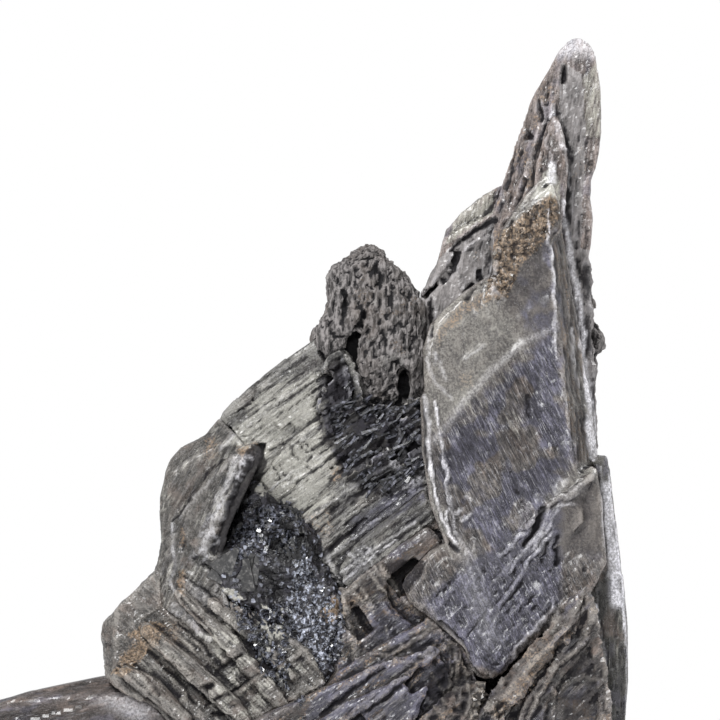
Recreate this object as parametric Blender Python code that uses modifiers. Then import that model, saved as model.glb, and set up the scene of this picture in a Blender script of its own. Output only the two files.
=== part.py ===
"""Gypsum (selenite) specimen: bladed crystals grown out of a grey clay matrix.

Frame: +Z up, front towards -Y, origin on the flat base below the middle of the cluster.
Outlines are written in millimetres as (x, z) seen from the front; depths run along +Y, away from the viewer.
"""

import math

import bmesh
import bpy
from mathutils import Matrix, Vector

MM = 0.001

# Driving dimensions, in millimetres.
GAP = 0.4  # clearance kept between neighbouring crystals
CRUST_GAP = 1.3  # and round the lumpy crust, whose surface stands up to 0.6 proud
GROWTH_ANGLE = math.radians(36)  # direction of the parallel growth layers, up to the right
WELD = 0.002  # points nearer than this are one point
WORN_ANGLE = math.radians(35)  # edges sharper than this are worn
CLAY_FACE = 2.2  # size of the small faces of the broad clay
KNOB_FACE = 1.7  # of the clay knob and the crust
NODULE_FACE = 0.95  # and of the nodules

CRYSTAL = ((0.46, 0.44, 0.41), 0.28)
CLEAR_CRYSTAL = ((0.66, 0.66, 0.60), 0.22)
STAINED = ((0.45, 0.40, 0.33), 0.35)
BROWN_CRYSTAL = ((0.27, 0.24, 0.22), 0.45)
CLAY = ((0.21, 0.205, 0.20), 0.85)
DRUSE = ((0.10, 0.10, 0.12), 0.3)

# While this is above zero, the shape makers grow what they make by it and leave out cuts, worn edges and
# lumps. What they then return is the space that a crystal needs, and its neighbours are cut back from it.
swell = 0.0


# ---------------------------------------------------------------- scene helpers


def clear_scene():
    for obj in list(bpy.data.objects):
        bpy.data.objects.remove(obj)


def material(name, look):
    colour, roughness = look
    mat = bpy.data.materials.new(name)
    mat.use_nodes = True
    shader = mat.node_tree.nodes["Principled BSDF"]
    shader.inputs["Base Color"].default_value = (*colour, 1)
    shader.inputs["Roughness"].default_value = roughness
    shader.inputs["Metallic"].default_value = 0
    return mat


def new_object(name, mesh):
    obj = bpy.data.objects.new(name, mesh)
    bpy.context.scene.collection.objects.link(obj)
    return obj


def bake(obj):
    """Replaces the object's mesh by what its modifiers make of it."""
    graph = bpy.context.evaluated_depsgraph_get()
    mesh = bpy.data.meshes.new_from_object(obj.evaluated_get(graph))
    obj.modifiers.clear()
    obj.data = mesh
    return obj


def tidy(obj):
    """Welds near points, drops slivers and keeps the largest closed body."""
    bm = bmesh.new()
    bm.from_mesh(obj.data)
    bmesh.ops.remove_doubles(bm, verts=bm.verts, dist=WELD * MM)
    bmesh.ops.dissolve_degenerate(bm, edges=bm.edges, dist=WELD * MM)
    islands = []
    left = set(bm.verts)
    while left:
        stack, island = [left.pop()], []
        while stack:
            vert = stack.pop()
            island.append(vert)
            for edge in vert.link_edges:
                other = edge.other_vert(vert)
                if other in left:
                    left.remove(other)
                    stack.append(other)
        islands.append(island)
    largest = max(islands, key=span)
    spare = [v for island in islands if island is not largest for v in island]
    bmesh.ops.delete(bm, geom=spare, context="VERTS")
    bmesh.ops.recalc_face_normals(bm, faces=bm.faces)
    bm.to_mesh(obj.data)
    bm.free()
    return obj


def span(verts):
    """Length of the diagonal of the box around these points."""
    low = Vector(min(v.co[k] for v in verts) for k in range(3))
    high = Vector(max(v.co[k] for v in verts) for k in range(3))
    return (high - low).length


def is_closed(mesh):
    """True for a mesh with faces whose every edge lies between two of them."""
    bm = bmesh.new()
    bm.from_mesh(mesh)
    closed = len(bm.faces) > 0 and all(len(edge.link_faces) == 2 for edge in bm.edges)
    bm.free()
    return closed


def boolean(target, tool, operation):
    """Unites or cuts; a result that comes out open is made again with the tool's own crossings resolved."""
    before = target.data
    for crossings in (False, True):
        target.data = before
        modifier = target.modifiers.new("Boolean", "BOOLEAN")
        modifier.operation = operation
        modifier.use_self = crossings
        modifier.object = tool
        bake(target)
        if is_closed(target.data):
            break
    bpy.data.objects.remove(tool)
    return target


def join(target, *others):
    for other in others:
        boolean(target, other, "UNION")
    return tidy(target)


def cut(target, *tools):
    for tool in tools:
        if swell:
            bpy.data.objects.remove(tool)
        else:
            boolean(target, tool, "DIFFERENCE")
    return tidy(target)


# ---------------------------------------------------------------- shape makers


def grown(outline):
    """The outline with every side moved outwards by the swell, and its corners kept from running far out."""
    if not swell:
        return outline
    points = [Vector(point) for point in outline]
    following = points[1:] + points[:1]
    area = sum(a.x * b.y - b.x * a.y for a, b in zip(points, following))
    outward = 1 if area > 0 else -1
    normals = []
    for a, b in zip(points, following):
        along = (b - a).normalized()
        normals.append(Vector((along.y, -along.x)) * outward)
    moved = []
    for index, point in enumerate(points):
        before, after = normals[index - 1], normals[index]
        mitre = (before + after) / max(1 + before.dot(after), 0.3)
        moved.append(tuple(point + mitre * swell))
    return moved


def filled(outline):
    """The filled outline as a mesh, one millimetre high as it lies, with its front at the bottom."""
    curve = bpy.data.curves.new("outline", "CURVE")
    curve.dimensions = "2D"
    curve.fill_mode = "BOTH"
    curve.extrude = 0.5
    spline = curve.splines.new("POLY")
    spline.points.add(len(outline) - 1)
    for point, (x, z) in zip(spline.points, outline):
        point.co = (x, z, 0, 1)
    spline.use_cyclic_u = True
    flat = new_object("flat", curve)
    graph = bpy.context.evaluated_depsgraph_get()
    mesh = bpy.data.meshes.new_from_object(flat.evaluated_get(graph))
    bpy.data.objects.remove(flat)
    return mesh


def slab(outline, depth, thickness, turn=0.0, lean=0.0, back_turn=None, back_lean=None):
    """A flat crystal: the outline between a front and a back plane.

    depth is y at the middle of the outline's box; turn and lean are the front plane's slopes, dy/dx and
    dy/dz. The back plane takes the same slopes unless its own are given.
    """
    mesh = filled(grown(outline))
    middle_x = (min(x for x, z in outline) + max(x for x, z in outline)) / 2
    middle_z = (min(z for x, z in outline) + max(z for x, z in outline)) / 2
    back_turn = turn if back_turn is None else back_turn
    back_lean = lean if back_lean is None else back_lean
    for vert in mesh.vertices:
        x, z, side = vert.co
        dx, dz = x - middle_x, z - middle_z
        if side < 0:
            y = depth + turn * dx + lean * dz - swell
        else:
            y = depth + thickness + back_turn * dx + back_lean * dz + swell
        vert.co = Vector((x, y, z)) * MM
    return tidy(new_object("slab", mesh))


def facet(obj, point, normal):
    """Cuts off what lies outside the plane through the point, as one crystal face."""
    bm = bmesh.new()
    bm.from_mesh(obj.data)
    geometry = bm.verts[:] + bm.edges[:] + bm.faces[:]
    outwards = Vector(normal).normalized()
    plane_point = (Vector(point) + outwards * swell) * MM
    cut_edges = bmesh.ops.bisect_plane(
        bm, geom=geometry, plane_co=plane_point, plane_no=outwards, clear_outer=True
    )["geom_cut"]
    edges = [item for item in cut_edges if isinstance(item, bmesh.types.BMEdge)]
    bmesh.ops.holes_fill(bm, edges=edges)
    bmesh.ops.triangulate(bm, faces=bm.faces)
    bm.to_mesh(obj.data)
    bm.free()
    return tidy(obj)


def chamfer(obj, width=0.5):
    """A narrow worn face along every sharp edge."""
    if swell:
        return obj
    modifier = obj.modifiers.new("Bevel", "BEVEL")
    modifier.width = width * MM
    modifier.segments = 1
    modifier.limit_method = "ANGLE"
    modifier.angle_limit = WORN_ANGLE
    return tidy(bake(obj))


def growth_box(x, z, along, across, y, deep):
    """A box lined up with the growth layers: along them, across them, and deep from y backwards."""
    bpy.ops.mesh.primitive_cube_add(size=1)
    box = bpy.context.active_object
    box.data.transform(Matrix.Diagonal((along * MM, deep * MM, across * MM, 1)))
    box.data.transform(Matrix.Rotation(-GROWTH_ANGLE, 4, "Y"))
    box.data.transform(Matrix.Translation(Vector((x, y + deep / 2, z)) * MM))
    return box


def strip(path, widths, y, deep, turn=0.0, lean=0.0):
    """A slab along a path in the front view, as wide at each point as widths says, for cracks and ridges."""
    left, right = [], []
    for index, (x, z) in enumerate(path):
        before = Vector(path[max(index - 1, 0)])
        after = Vector(path[min(index + 1, len(path) - 1)])
        direction = (after - before).normalized()
        side = Vector((-direction.y, direction.x)) * widths[index] / 2
        left.append((x + side.x, z + side.y))
        right.append((x - side.x, z - side.y))
    return slab(left + right[::-1], y, deep, turn, lean)


def remesh(obj, face_size):
    """Even small faces all over, with no part of the surface crossing another."""
    modifier = obj.modifiers.new("Remesh", "REMESH")
    modifier.mode = "VOXEL"
    modifier.voxel_size = face_size * MM
    return bake(obj)


def triangle_count(obj):
    return sum(len(face.vertices) - 2 for face in obj.data.polygons)


def thin_out(obj, triangles):
    """Fewer, larger faces: about as many triangles as asked for."""
    faces = triangle_count(obj)
    if faces > triangles:
        modifier = obj.modifiers.new("Decimate", "DECIMATE")
        modifier.ratio = triangles / faces
        bake(obj)
    return obj


def roughen(obj, face_size, strength, size, triangles):
    """Turns a solid into a lumpy one: even small faces, pushed in and out by a fixed noise pattern."""
    if swell:
        return obj
    remesh(obj, face_size)
    texture = bpy.data.textures.new("lumps", "CLOUDS")
    texture.noise_scale = size * MM
    displace = obj.modifiers.new("Displace", "DISPLACE")
    displace.texture = texture
    displace.texture_coords = "GLOBAL"
    displace.strength = strength * MM
    displace.mid_level = 0.5
    bake(obj)
    remesh(obj, face_size * 0.8)
    return tidy(thin_out(obj, triangles))


def ball(x, y, z, radius):
    bpy.ops.mesh.primitive_ico_sphere_add(subdivisions=2, radius=radius * MM)
    obj = bpy.context.active_object
    obj.data.transform(Matrix.Translation(Vector((x, y, z)) * MM))
    return obj


# ---------------------------------------------------------------- the crystals


def front_blade():
    """The tall lozenge in front, its side face, and the lower plate it runs down into."""
    blade = slab(
        [
            (38.2, 135.6), (39.6, 132.0), (42.4, 118.0), (43.6, 109.2), (46.4, 85.2), (46.8, 76.6),
            (44.0, 66.0), (36.0, 58.0), (28.0, 56.5), (22.0, 58.6), (18.6, 61.0), (15.8, 67.0),
            (13.4, 78.0), (12.2, 90.0), (13.4, 93.0), (13.4, 100.0), (14.6, 104.6), (17.2, 107.4),
            (21.0, 111.0), (26.2, 114.4), (27.6, 121.0), (28.6, 124.0), (31.8, 129.2), (35.6, 133.4),
        ],
        depth=-12.5, thickness=10.5, lean=0.07, back_lean=0.10,
    )
    # The side face: from the ridge beside the front face back to the right-hand edge.
    facet(blade, (38.2, -9.6, 118.0), (0.86, -0.46, 0.14))
    facet(blade, (44.4, -4.6, 100.0), (0.72, 0.68, 0.12))
    facet(blade, (14.0, -12.6, 84.0), (-0.72, -0.66, -0.16))
    facet(blade, (16.0, -5.0, 84.0), (-0.72, 0.68, -0.16))
    facet(blade, (36.0, -3.4, 130.0), (-0.10, 0.80, 0.58))
    plate = slab(
        [
            (24.0, 66.0), (46.6, 77.0), (48.0, 70.0), (48.6, 58.0), (45.6, 52.0), (38.6, 46.4),
            (30.6, 39.2), (28.0, 36.2), (25.6, 34.8), (22.6, 36.0), (21.2, 40.6), (16.2, 45.4),
            (10.0, 50.0), (8.6, 54.0), (14.0, 60.0),
        ],
        depth=-14.3, thickness=11.5, lean=0.05, turn=0.02,
    )
    # The shoulder crystal on the left of the blade, a step forward of it.
    shoulder = slab(
        [
            (13.0, 92.0), (12.9, 96.6), (12.8, 100.0), (14.2, 104.9), (17.0, 107.9), (21.0, 111.4),
            (25.8, 114.6), (29.0, 109.0), (34.0, 101.0), (27.0, 93.4), (18.6, 84.8), (13.2, 84.0),
        ],
        depth=-13.2, thickness=4.5, lean=0.10, turn=0.05,
    )
    # The crusted ledge that crosses below the tip.
    ledge = slab(
        [
            (26.6, 113.0), (26.4, 119.0), (29.6, 124.6), (38.0, 133.0), (39.6, 129.0), (40.0, 124.0),
            (34.0, 117.4), (29.6, 111.6),
        ],
        depth=-11.0, thickness=4.0, lean=0.08,
    )
    # The long rib down the left edge of the lower half.
    rib = strip(
        [(12.8, 90.6), (13.6, 80.0), (15.2, 70.0), (18.4, 61.6), (21.4, 58.6)], [1.2, 2.2, 2.4, 2.6, 1.4],
        -14.2, 4, turn=0.1, lean=0.07,
    )
    # The raised fold where the plate's upper edge crosses in front of the blade.
    fold = strip(
        [(46.0, 75.0), (41.0, 71.4), (37.0, 69.0), (32.4, 66.0), (29.0, 62.0)], [1.0, 1.8, 2.0, 1.6, 0.8],
        -14.9, 5, lean=0.05,
    )
    return join(chamfer(blade, 0.6), chamfer(plate, 0.8), chamfer(shoulder, 0.9), ledge, rib, fold)


def corner_blade():
    """The small twin blade low on the right, with a groove between its two walls."""
    body = slab(
        [
            (41.6, 50.6), (43.6, 51.8), (45.2, 50.8), (46.4, 47.2), (47.4, 42.0), (48.6, 34.0),
            (49.4, 26.0), (49.0, 8.0), (30.0, 4.0), (20.0, 8.0), (22.4, 26.0), (26.2, 32.0),
            (30.4, 37.0), (35.0, 41.4), (38.2, 45.6), (41.2, 48.4),
        ],
        depth=-20.0, thickness=13, lean=-0.03, turn=0.08,
    )
    groove = strip(
        [(43.0, 45.5), (38.0, 39.0), (32.0, 31.5), (26.0, 20.0)], [0.8, 2.0, 2.8, 2.4], -26, 7.6, lean=-0.03
    )
    hollow = slab(
        [(45.8, 42.6), (40.0, 35.6), (36.6, 30.0), (34.0, 20.0), (47.0, 18.0), (47.4, 30.0)],
        -26, 7.4, lean=-0.03, turn=0.08,
    )
    return chamfer(cut(body, groove, hollow), 0.5)


def right_prism():
    """The upright prism at the right edge, with its long bright side face."""
    body = slab(
        [
            (40.4, 73.0), (47.2, 78.6), (49.0, 78.6), (50.2, 70.0), (51.6, 58.0), (52.8, 46.0),
            (53.0, 34.0), (52.6, 26.0), (51.4, 12.0), (49.0, 2.0), (36.0, 1.0), (38.0, 30.0), (39.0, 60.0),
        ],
        depth=-9.5, thickness=16, lean=0.02, turn=0.04,
    )
    facet(body, (49.6, -9.4, 66.0), (0.80, -0.58, 0.10))
    facet(body, (51.4, 2.0, 50.0), (0.80, 0.58, 0.06))
    return chamfer(body, 0.6)


def ribbed_crystal():
    """Stepped growth layers low in the middle, with square hollows between them."""
    layers = [
        # (outline, depth, thickness)
        ([(-3.0, 52.0), (3.0, 58.0), (15.0, 66.6), (20.0, 60.0), (24.0, 50.0), (12.0, 40.0), (-2.0, 30.0),
          (-6.0, 40.0)], -7.8, 14),
        ([(-3.4, 50.6), (-0.4, 54.4), (13.6, 64.8), (16.0, 61.6), (4.6, 52.6), (6.0, 49.0), (12.6, 43.0),
          (15.6, 41.4), (12.4, 38.6), (2.0, 32.0), (-4.4, 36.0)], -10.8, 10),
        ([(-12.0, 26.0), (-4.0, 36.6), (6.0, 42.6), (16.0, 47.6), (19.0, 44.0), (21.6, 38.0), (24.0, 30.0),
          (22.0, 8.0), (-8.0, 6.0)], -13.8, 18),
        ([(-34.0, 15.0), (-22.0, 26.0), (-6.0, 33.6), (8.0, 39.0), (15.0, 41.0), (18.0, 34.0), (16.0, 22.0),
          (8.0, 8.0), (-30.0, 5.0)], -16.4, 22),
        ([(-30.0, 9.0), (-16.0, 22.0), (-2.0, 30.4), (10.0, 35.6), (13.6, 33.6), (10.0, 26.0), (0.0, 14.0),
          (-12.0, 4.0), (-28.0, 4.0)], -19.0, 20),
        ([(0.0, 16.0), (10.0, 25.0), (19.0, 33.0), (23.6, 34.0), (22.0, 26.0), (24.0, 12.0), (14.0, 4.0)],
         -19.6, 16),
    ]
    hollows = [
        # (x, z, length, width, y in front, y range cut away)
        (9.4, 54.6, 8.0, 5.8, -14, 9.0),
        (-0.6, 45.6, 5.0, 6.4, -15, 6.4),
        (12.6, 35.4, 8.4, 3.4, -21, 6.2),
        (-3.0, 24.6, 10.0, 2.8, -21, 4.0),
        (8.0, 17.6, 9.0, 3.0, -23, 5.6),
    ]
    slabs = [
        chamfer(slab(outline, depth, thickness, lean=0.03, turn=0.02), 0.6)
        for outline, depth, thickness in layers
    ]
    return cut(join(*slabs), *[growth_box(*hollow) for hollow in hollows])


def left_crystal():
    """The rounded crystal at the left, with a raised flap along its inner edge."""
    body = slab(
        [
            (-28.0, 86.0), (-30.6, 82.8), (-33.0, 81.4), (-35.4, 80.2), (-37.6, 77.8), (-38.4, 75.6),
            (-38.9, 73.2), (-39.6, 70.6), (-39.7, 68.8), (-39.5, 64.0), (-39.4, 61.0), (-40.0, 57.4),
            (-41.0, 55.0), (-39.0, 49.0), (-30.0, 42.0), (-26.0, 48.0), (-29.0, 58.0), (-27.6, 61.0),
            (-25.6, 67.0), (-22.0, 74.0), (-22.4, 80.0), (-24.6, 82.6),
        ],
        depth=-7.4, thickness=13, lean=0.06, turn=-0.12,
    )
    facet(body, (-38.0, -6.0, 70.0), (-0.75, -0.66, 0.05))
    facet(body, (-33.0, -5.6, 79.0), (-0.42, -0.66, 0.62))
    facet(body, (-37.6, 3.0, 70.0), (-0.70, 0.70, 0.10))
    facet(body, (-31.0, 4.4, 80.0), (-0.40, 0.66, 0.63))
    flap = slab(
        [
            (-35.2, 67.6), (-29.6, 75.6), (-24.0, 80.4), (-20.6, 81.2), (-19.4, 79.6), (-20.8, 76.0),
            (-23.6, 71.0), (-25.4, 66.6), (-27.4, 60.6), (-28.8, 57.8), (-33.0, 60.0), (-35.4, 63.0),
        ],
        depth=-10.6, thickness=3.2, lean=-0.02, turn=-0.34,
    )
    return join(chamfer(body, 1.0), chamfer(flap, 0.6))


def stained_crystal():
    """The crystal low on the left: stacked ridges that run down to the right."""
    body = slab(
        [
            (-40.4, 56.0), (-43.8, 52.8), (-47.6, 49.0), (-51.2, 45.4), (-51.4, 43.6), (-51.0, 39.6),
            (-50.4, 34.8), (-48.6, 32.8), (-46.6, 31.8), (-42.2, 30.0), (-40.0, 28.4), (-37.4, 25.6),
            (-30.0, 20.0), (-16.0, 20.0), (-6.0, 32.0), (-10.0, 40.0), (-22.0, 48.0), (-30.0, 51.0),
            (-36.0, 54.0),
        ],
        depth=-8.4, thickness=15, lean=0.10, turn=-0.10,
    )
    facet(body, (-49.4, -5.0, 42.0), (-0.82, -0.56, 0.05))
    facet(body, (-47.0, 5.0, 42.0), (-0.72, 0.68, 0.10))
    ridges = [
        # (path, widths, depth, thickness)
        ([(-36.4, 52.0), (-28.0, 44.0), (-19.0, 34.0), (-12.0, 25.0)], [2.0, 3.0, 3.2, 2.0], -11.4, 6),
        ([(-43.0, 45.0), (-34.0, 37.0), (-26.0, 29.6), (-20.0, 22.0)], [2.0, 3.6, 3.6, 2.0], -12.0, 6),
        ([(-47.6, 36.6), (-41.0, 32.6), (-34.0, 26.0)], [1.8, 3.6, 2.0], -11.6, 5),
        ([(-30.0, 50.4), (-22.0, 44.0), (-13.0, 34.6)], [1.6, 2.4, 1.6], -11.0, 6),
    ]
    return join(chamfer(body, 0.9), *[chamfer(strip(*ridge, lean=0.08), 0.7) for ridge in ridges])


def rear_spire():
    """The tallest crystal, behind the front blade, and the thin clay-coated plate grown through its left."""
    body = slab(
        [
            (40.4, 160.0), (42.0, 161.8), (44.0, 162.4), (46.0, 161.0), (47.4, 158.6), (47.8, 155.0),
            (48.0, 150.0), (48.2, 144.0), (47.6, 139.6), (47.0, 136.6), (46.0, 134.2), (45.8, 130.0),
            (46.4, 126.0), (46.0, 121.0), (45.2, 117.6), (45.6, 104.0), (46.4, 92.0), (46.4, 80.0),
            (44.0, 56.0), (30.0, 56.0), (27.0, 104.0), (26.8, 120.0), (26.6, 130.0), (27.0, 133.0),
            (28.2, 136.4), (29.8, 138.4), (30.4, 142.0), (32.2, 145.0), (34.6, 150.0), (37.2, 154.4),
        ],
        depth=1.4, thickness=10.6, lean=0.045, turn=0.02, back_turn=-0.05,
    )
    facet(body, (38.4, 0.6, 140.0), (-0.55, -0.80, 0.22))
    facet(body, (46.6, 6.0, 148.0), (0.72, 0.68, 0.10))
    facet(body, (36.0, 9.6, 140.0), (-0.60, 0.78, 0.18))
    facet(body, (43.0, 10.0, 156.0), (0.0, 0.78, 0.62))
    facet(body, (42.6, 2.4, 160.0), (-0.1, -0.76, 0.64))
    spur = slab(
        [
            (34.6, 126.0), (35.4, 137.0), (37.6, 144.6), (39.0, 147.2), (40.6, 143.0), (41.4, 137.0),
            (40.6, 126.0), (38.0, 122.0),
        ],
        depth=-1.6, thickness=5, lean=0.05, turn=0.1,
    )
    plate = slab(
        [
            (28.4, 132.8), (24.0, 130.2), (20.4, 127.2), (17.6, 124.0), (16.8, 121.2), (16.0, 117.6),
            (14.4, 115.0), (13.4, 112.4), (12.4, 111.4), (13.6, 100.0), (15.0, 84.0), (30.0, 80.0),
            (36.0, 110.0), (34.0, 134.0),
        ],
        depth=5.6, thickness=7.0, lean=0.045, turn=-0.06,
    )
    clay_layer = slab(
        [
            (17.0, 122.4), (20.0, 124.0), (24.0, 126.0), (28.0, 128.0), (32.0, 110.0), (30.0, 82.0),
            (15.6, 84.0), (14.0, 100.0), (13.0, 111.0), (15.4, 115.4),
        ],
        depth=4.4, thickness=4.0, lean=0.045, turn=-0.06,
    )
    cracks = [
        strip([(40.8, 156.8), (41.2, 154.4), (41.0, 153.0)], [0.8, 1.4, 0.6], -3, 6.6),
        strip([(35.6, 150.4), (35.8, 147.0)], [0.8, 0.8], -3, 6.0),
        strip([(12.6, 110.2), (16.4, 114.2), (19.4, 118.6), (20.4, 121.4)], [1.6, 1.3, 1.1, 0.5], 0, 8.6),
        strip([(23.8, 116.4), (24.0, 113.6)], [0.7, 0.7], 0, 7.4),
    ]
    return cut(join(chamfer(body, 0.7), chamfer(spur, 0.7), plate, clay_layer), *cracks)


def fan_crystal():
    """The clear crystal at the left, built of parallel layers that rise to the right."""
    body = slab(
        [
            (-28.6, 83.6), (-27.0, 87.2), (-23.6, 90.8), (-19.2, 94.8), (-14.6, 98.4), (-9.6, 102.4),
            (-5.0, 100.6), (-2.4, 97.0), (-1.0, 92.4), (3.0, 88.6), (8.0, 88.0), (13.4, 90.0),
            (15.0, 66.0), (-3.0, 52.0), (-12.0, 50.0), (-24.0, 66.0), (-26.0, 76.0),
        ],
        depth=-0.4, thickness=11, lean=0.07, turn=-0.10,
    )
    facet(body, (-23.0, 1.0, 92.0), (-0.48, -0.46, 0.75))
    facet(body, (-21.0, 8.0, 90.0), (-0.45, 0.60, 0.66))
    terraces = [
        # (outline, depth, thickness, turn, lean)
        ([(-20.0, 74.0), (-13.0, 82.6), (-1.0, 90.6), (3.0, 86.4), (13.0, 86.0), (14.0, 66.0), (-3.0, 53.0),
          (-14.0, 62.0)], -3.0, 6, -0.10, 0.06),
        ([(-12.0, 66.0), (-5.0, 73.0), (13.0, 84.4), (14.0, 72.0), (13.4, 66.0), (-2.6, 53.4), (-8.0, 58.0)],
         -5.2, 6, -0.08, 0.06),
        ([(-4.0, 56.6), (-1.0, 61.0), (13.0, 71.6), (15.0, 66.2), (-2.6, 53.0)], -8.0, 6, -0.04, 0.05),
        ([(-7.6, 95.6), (-6.0, 98.6), (-3.6, 99.6), (-1.8, 98.6), (-0.9, 96.8), (-3.6, 94.4)],
         -3.4, 5, 0.10, 0.08),
        ([(-7.0, 92.0), (-2.6, 96.0), (-0.6, 95.4), (0.6, 90.0), (-2.0, 87.4), (-8.0, 88.0)],
         -4.0, 5, 0.10, 0.08),
    ]
    join(chamfer(body, 0.7), *[chamfer(slab(*terrace), 0.5) for terrace in terraces])
    ledges = [
        # (x, z, length, width, y of the ledge's floor)
        (-2.0, 84.6, 9.0, 1.5, -1.6),
        (4.0, 84.6, 8.0, 2.2, -2.0),
        (9.4, 79.4, 7.0, 2.6, -3.2),
        (3.6, 79.2, 5.0, 1.6, -2.6),
        (-4.0, 77.6, 6.0, 1.2, -1.2),
        (6.0, 73.0, 11.0, 1.3, -4.6),
        (-6.0, 68.6, 8.0, 1.0, -3.0),
        (-14.0, 78.6, 10.0, 0.9, -0.6),
        (4.0, 67.4, 14.0, 1.0, -5.2),
    ]
    reach = 8.0
    steps = [growth_box(x, z, length, width, floor - reach, reach) for x, z, length, width, floor in ledges]
    return cut(body, *steps)


def druse_crust():
    """The dark glittering crust in the hollow between the left crystal and the growth layers."""
    body = slab(
        [
            (-21.6, 75.4), (-17.6, 70.6), (-12.0, 66.4), (-8.0, 61.4), (-5.4, 55.0), (-2.8, 48.0),
            (-3.6, 38.0), (-8.0, 32.0), (-14.0, 33.0), (-20.0, 44.0), (-30.0, 55.0), (-27.6, 61.0),
            (-24.6, 68.0),
        ],
        depth=-5.4, thickness=7, lean=0.09, turn=-0.14,
    )
    cup = slab(
        [(-20.0, 62.6), (-14.6, 66.6), (-9.4, 63.6), (-9.8, 57.4), (-15.0, 54.0), (-19.0, 57.4)],
        depth=-10.4, thickness=8.6, lean=0.06, turn=-0.10,
    )
    hollow = slab(
        [(-18.6, 62.4), (-14.2, 65.0), (-10.6, 62.6), (-11.0, 58.0), (-15.4, 56.0), (-18.0, 58.4)],
        depth=-14.4, thickness=7.6, lean=0.06, turn=-0.10,
    )
    block = slab(
        [(-31.0, 56.0), (-27.8, 60.4), (-23.0, 61.2), (-19.4, 52.6), (-19.0, 48.0), (-24.0, 48.8)],
        depth=-9.4, thickness=8, lean=0.02, turn=0.10,
    )
    body = cut(join(body, cup, chamfer(block, 0.5)), hollow)
    return roughen(body, KNOB_FACE, strength=1.2, size=3.0, triangles=560)


def side_blade():
    """The plain brown blade that runs out to the left, to a chisel tip."""
    body = slab(
        [
            (-86.0, 21.0), (-84.0, 26.4), (-80.0, 28.2), (-72.0, 29.6), (-66.0, 31.4), (-60.0, 32.6),
            (-55.0, 33.6), (-50.0, 34.6), (-36.0, 36.0), (-28.0, 30.0), (-24.0, 12.0), (-40.0, 12.6),
            (-62.0, 13.4), (-78.0, 15.4),
        ],
        depth=-5.0, thickness=14, lean=0.10, turn=-0.12, back_lean=-0.10, back_turn=-0.04,
    )
    facet(body, (-60.0, -2.4, 31.2), (-0.10, -0.50, 0.86))
    facet(body, (-60.0, 7.0, 30.4), (-0.10, 0.62, 0.78))
    facet(body, (-60.0, -5.0, 15.0), (0.0, -0.72, -0.69))
    facet(body, (-60.0, 6.6, 15.6), (0.0, 0.72, -0.69))
    facet(body, (-84.0, 1.0, 22.0), (-0.78, -0.60, 0.0))
    return chamfer(body, 0.8)


def back_blade_left():
    """The nearer of the two blades on the back, with a smaller one grown along it."""
    body = slab(
        [
            (-20.0, 58.0), (-16.0, 82.0), (-7.0, 97.0), (2.0, 103.0), (8.0, 97.0), (12.0, 74.0),
            (10.0, 30.0), (-14.0, 26.0),
        ],
        depth=16.6, thickness=9, lean=-0.05, turn=0.12,
    )
    facet(body, (-12.0, 21.0, 78.0), (-0.62, 0.74, 0.24))
    facet(body, (9.0, 24.0, 78.0), (0.66, 0.74, 0.10))
    rider = slab(
        [(-4.0, 40.0), (-8.0, 62.0), (-1.0, 78.0), (5.0, 81.0), (9.0, 60.0), (7.0, 34.0)],
        depth=23.0, thickness=7, lean=-0.14, turn=0.12,
    )
    facet(rider, (-3.0, 29.0, 60.0), (-0.60, 0.78, 0.15))
    return join(chamfer(body, 0.8), chamfer(rider, 0.8))


def back_blade_right():
    """The broad blade on the back, behind the front blade."""
    body = slab(
        [
            (18.0, 52.0), (19.0, 84.0), (26.0, 106.0), (33.0, 114.0), (40.0, 99.0), (44.0, 70.0),
            (42.0, 28.0), (22.0, 26.0),
        ],
        depth=15.4, thickness=9, lean=-0.05, turn=-0.14,
    )
    facet(body, (38.0, 21.0, 80.0), (0.62, 0.76, 0.18))
    facet(body, (23.0, 23.4, 80.0), (-0.62, 0.74, 0.16))
    facet(body, (33.0, 20.0, 106.0), (0.0, 0.70, 0.70))
    return chamfer(body, 0.8)


def clay_knob():
    """The lump of clay at the top of the middle, with deep shrinkage cracks."""
    body = slab(
        [
            (-6.2, 115.0), (-5.8, 116.6), (-3.6, 118.0), (-1.0, 119.2), (0.4, 120.4), (1.8, 120.6),
            (4.0, 120.2), (5.6, 118.2), (8.0, 115.6), (10.0, 114.0), (10.8, 111.6), (12.0, 110.8),
            (13.0, 104.0), (13.2, 92.0), (11.0, 86.0), (4.0, 84.0), (-1.0, 88.0), (-4.0, 94.0),
            (-10.0, 102.6), (-8.8, 104.6), (-7.2, 106.4), (-5.8, 108.4), (-6.4, 111.6),
        ],
        depth=-1.2, thickness=14, lean=0.12, turn=0.06,
    )
    # Its lower end slopes back behind the growth layers.
    facet(body, (4.0, -2.6, 99.0), (0.0, -0.88, -0.48))
    neck = slab(
        [(-6.0, 74.0), (-5.0, 96.0), (0.0, 104.0), (10.0, 104.0), (13.0, 90.0), (14.0, 74.0)],
        depth=10.8, thickness=5.2,
    )
    roughen(join(body, neck), KNOB_FACE, strength=1.5, size=4.5, triangles=400)
    return cut(
        body,
        strip([(0.4, 108.6), (0.2, 104.8), (-1.6, 101.4), (-1.8, 97.0), (0.4, 92.6), (-3.0, 87.0)],
              [0.5, 1.5, 2.2, 2.2, 1.8, 2.2], -12, 15.5),
        strip([(7.6, 97.4), (8.8, 94.6), (8.6, 91.0), (6.6, 87.4)], [0.5, 2.2, 2.6, 1.0], -12, 17.0),
        strip([(-3.4, 112.0), (-2.6, 109.4), (-3.4, 107.0)], [0.4, 1.4, 0.5], -8, 11.0),
        strip([(3.4, 117.6), (2.2, 114.8)], [0.8, 0.7], -8, 10.6),
    )


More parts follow.
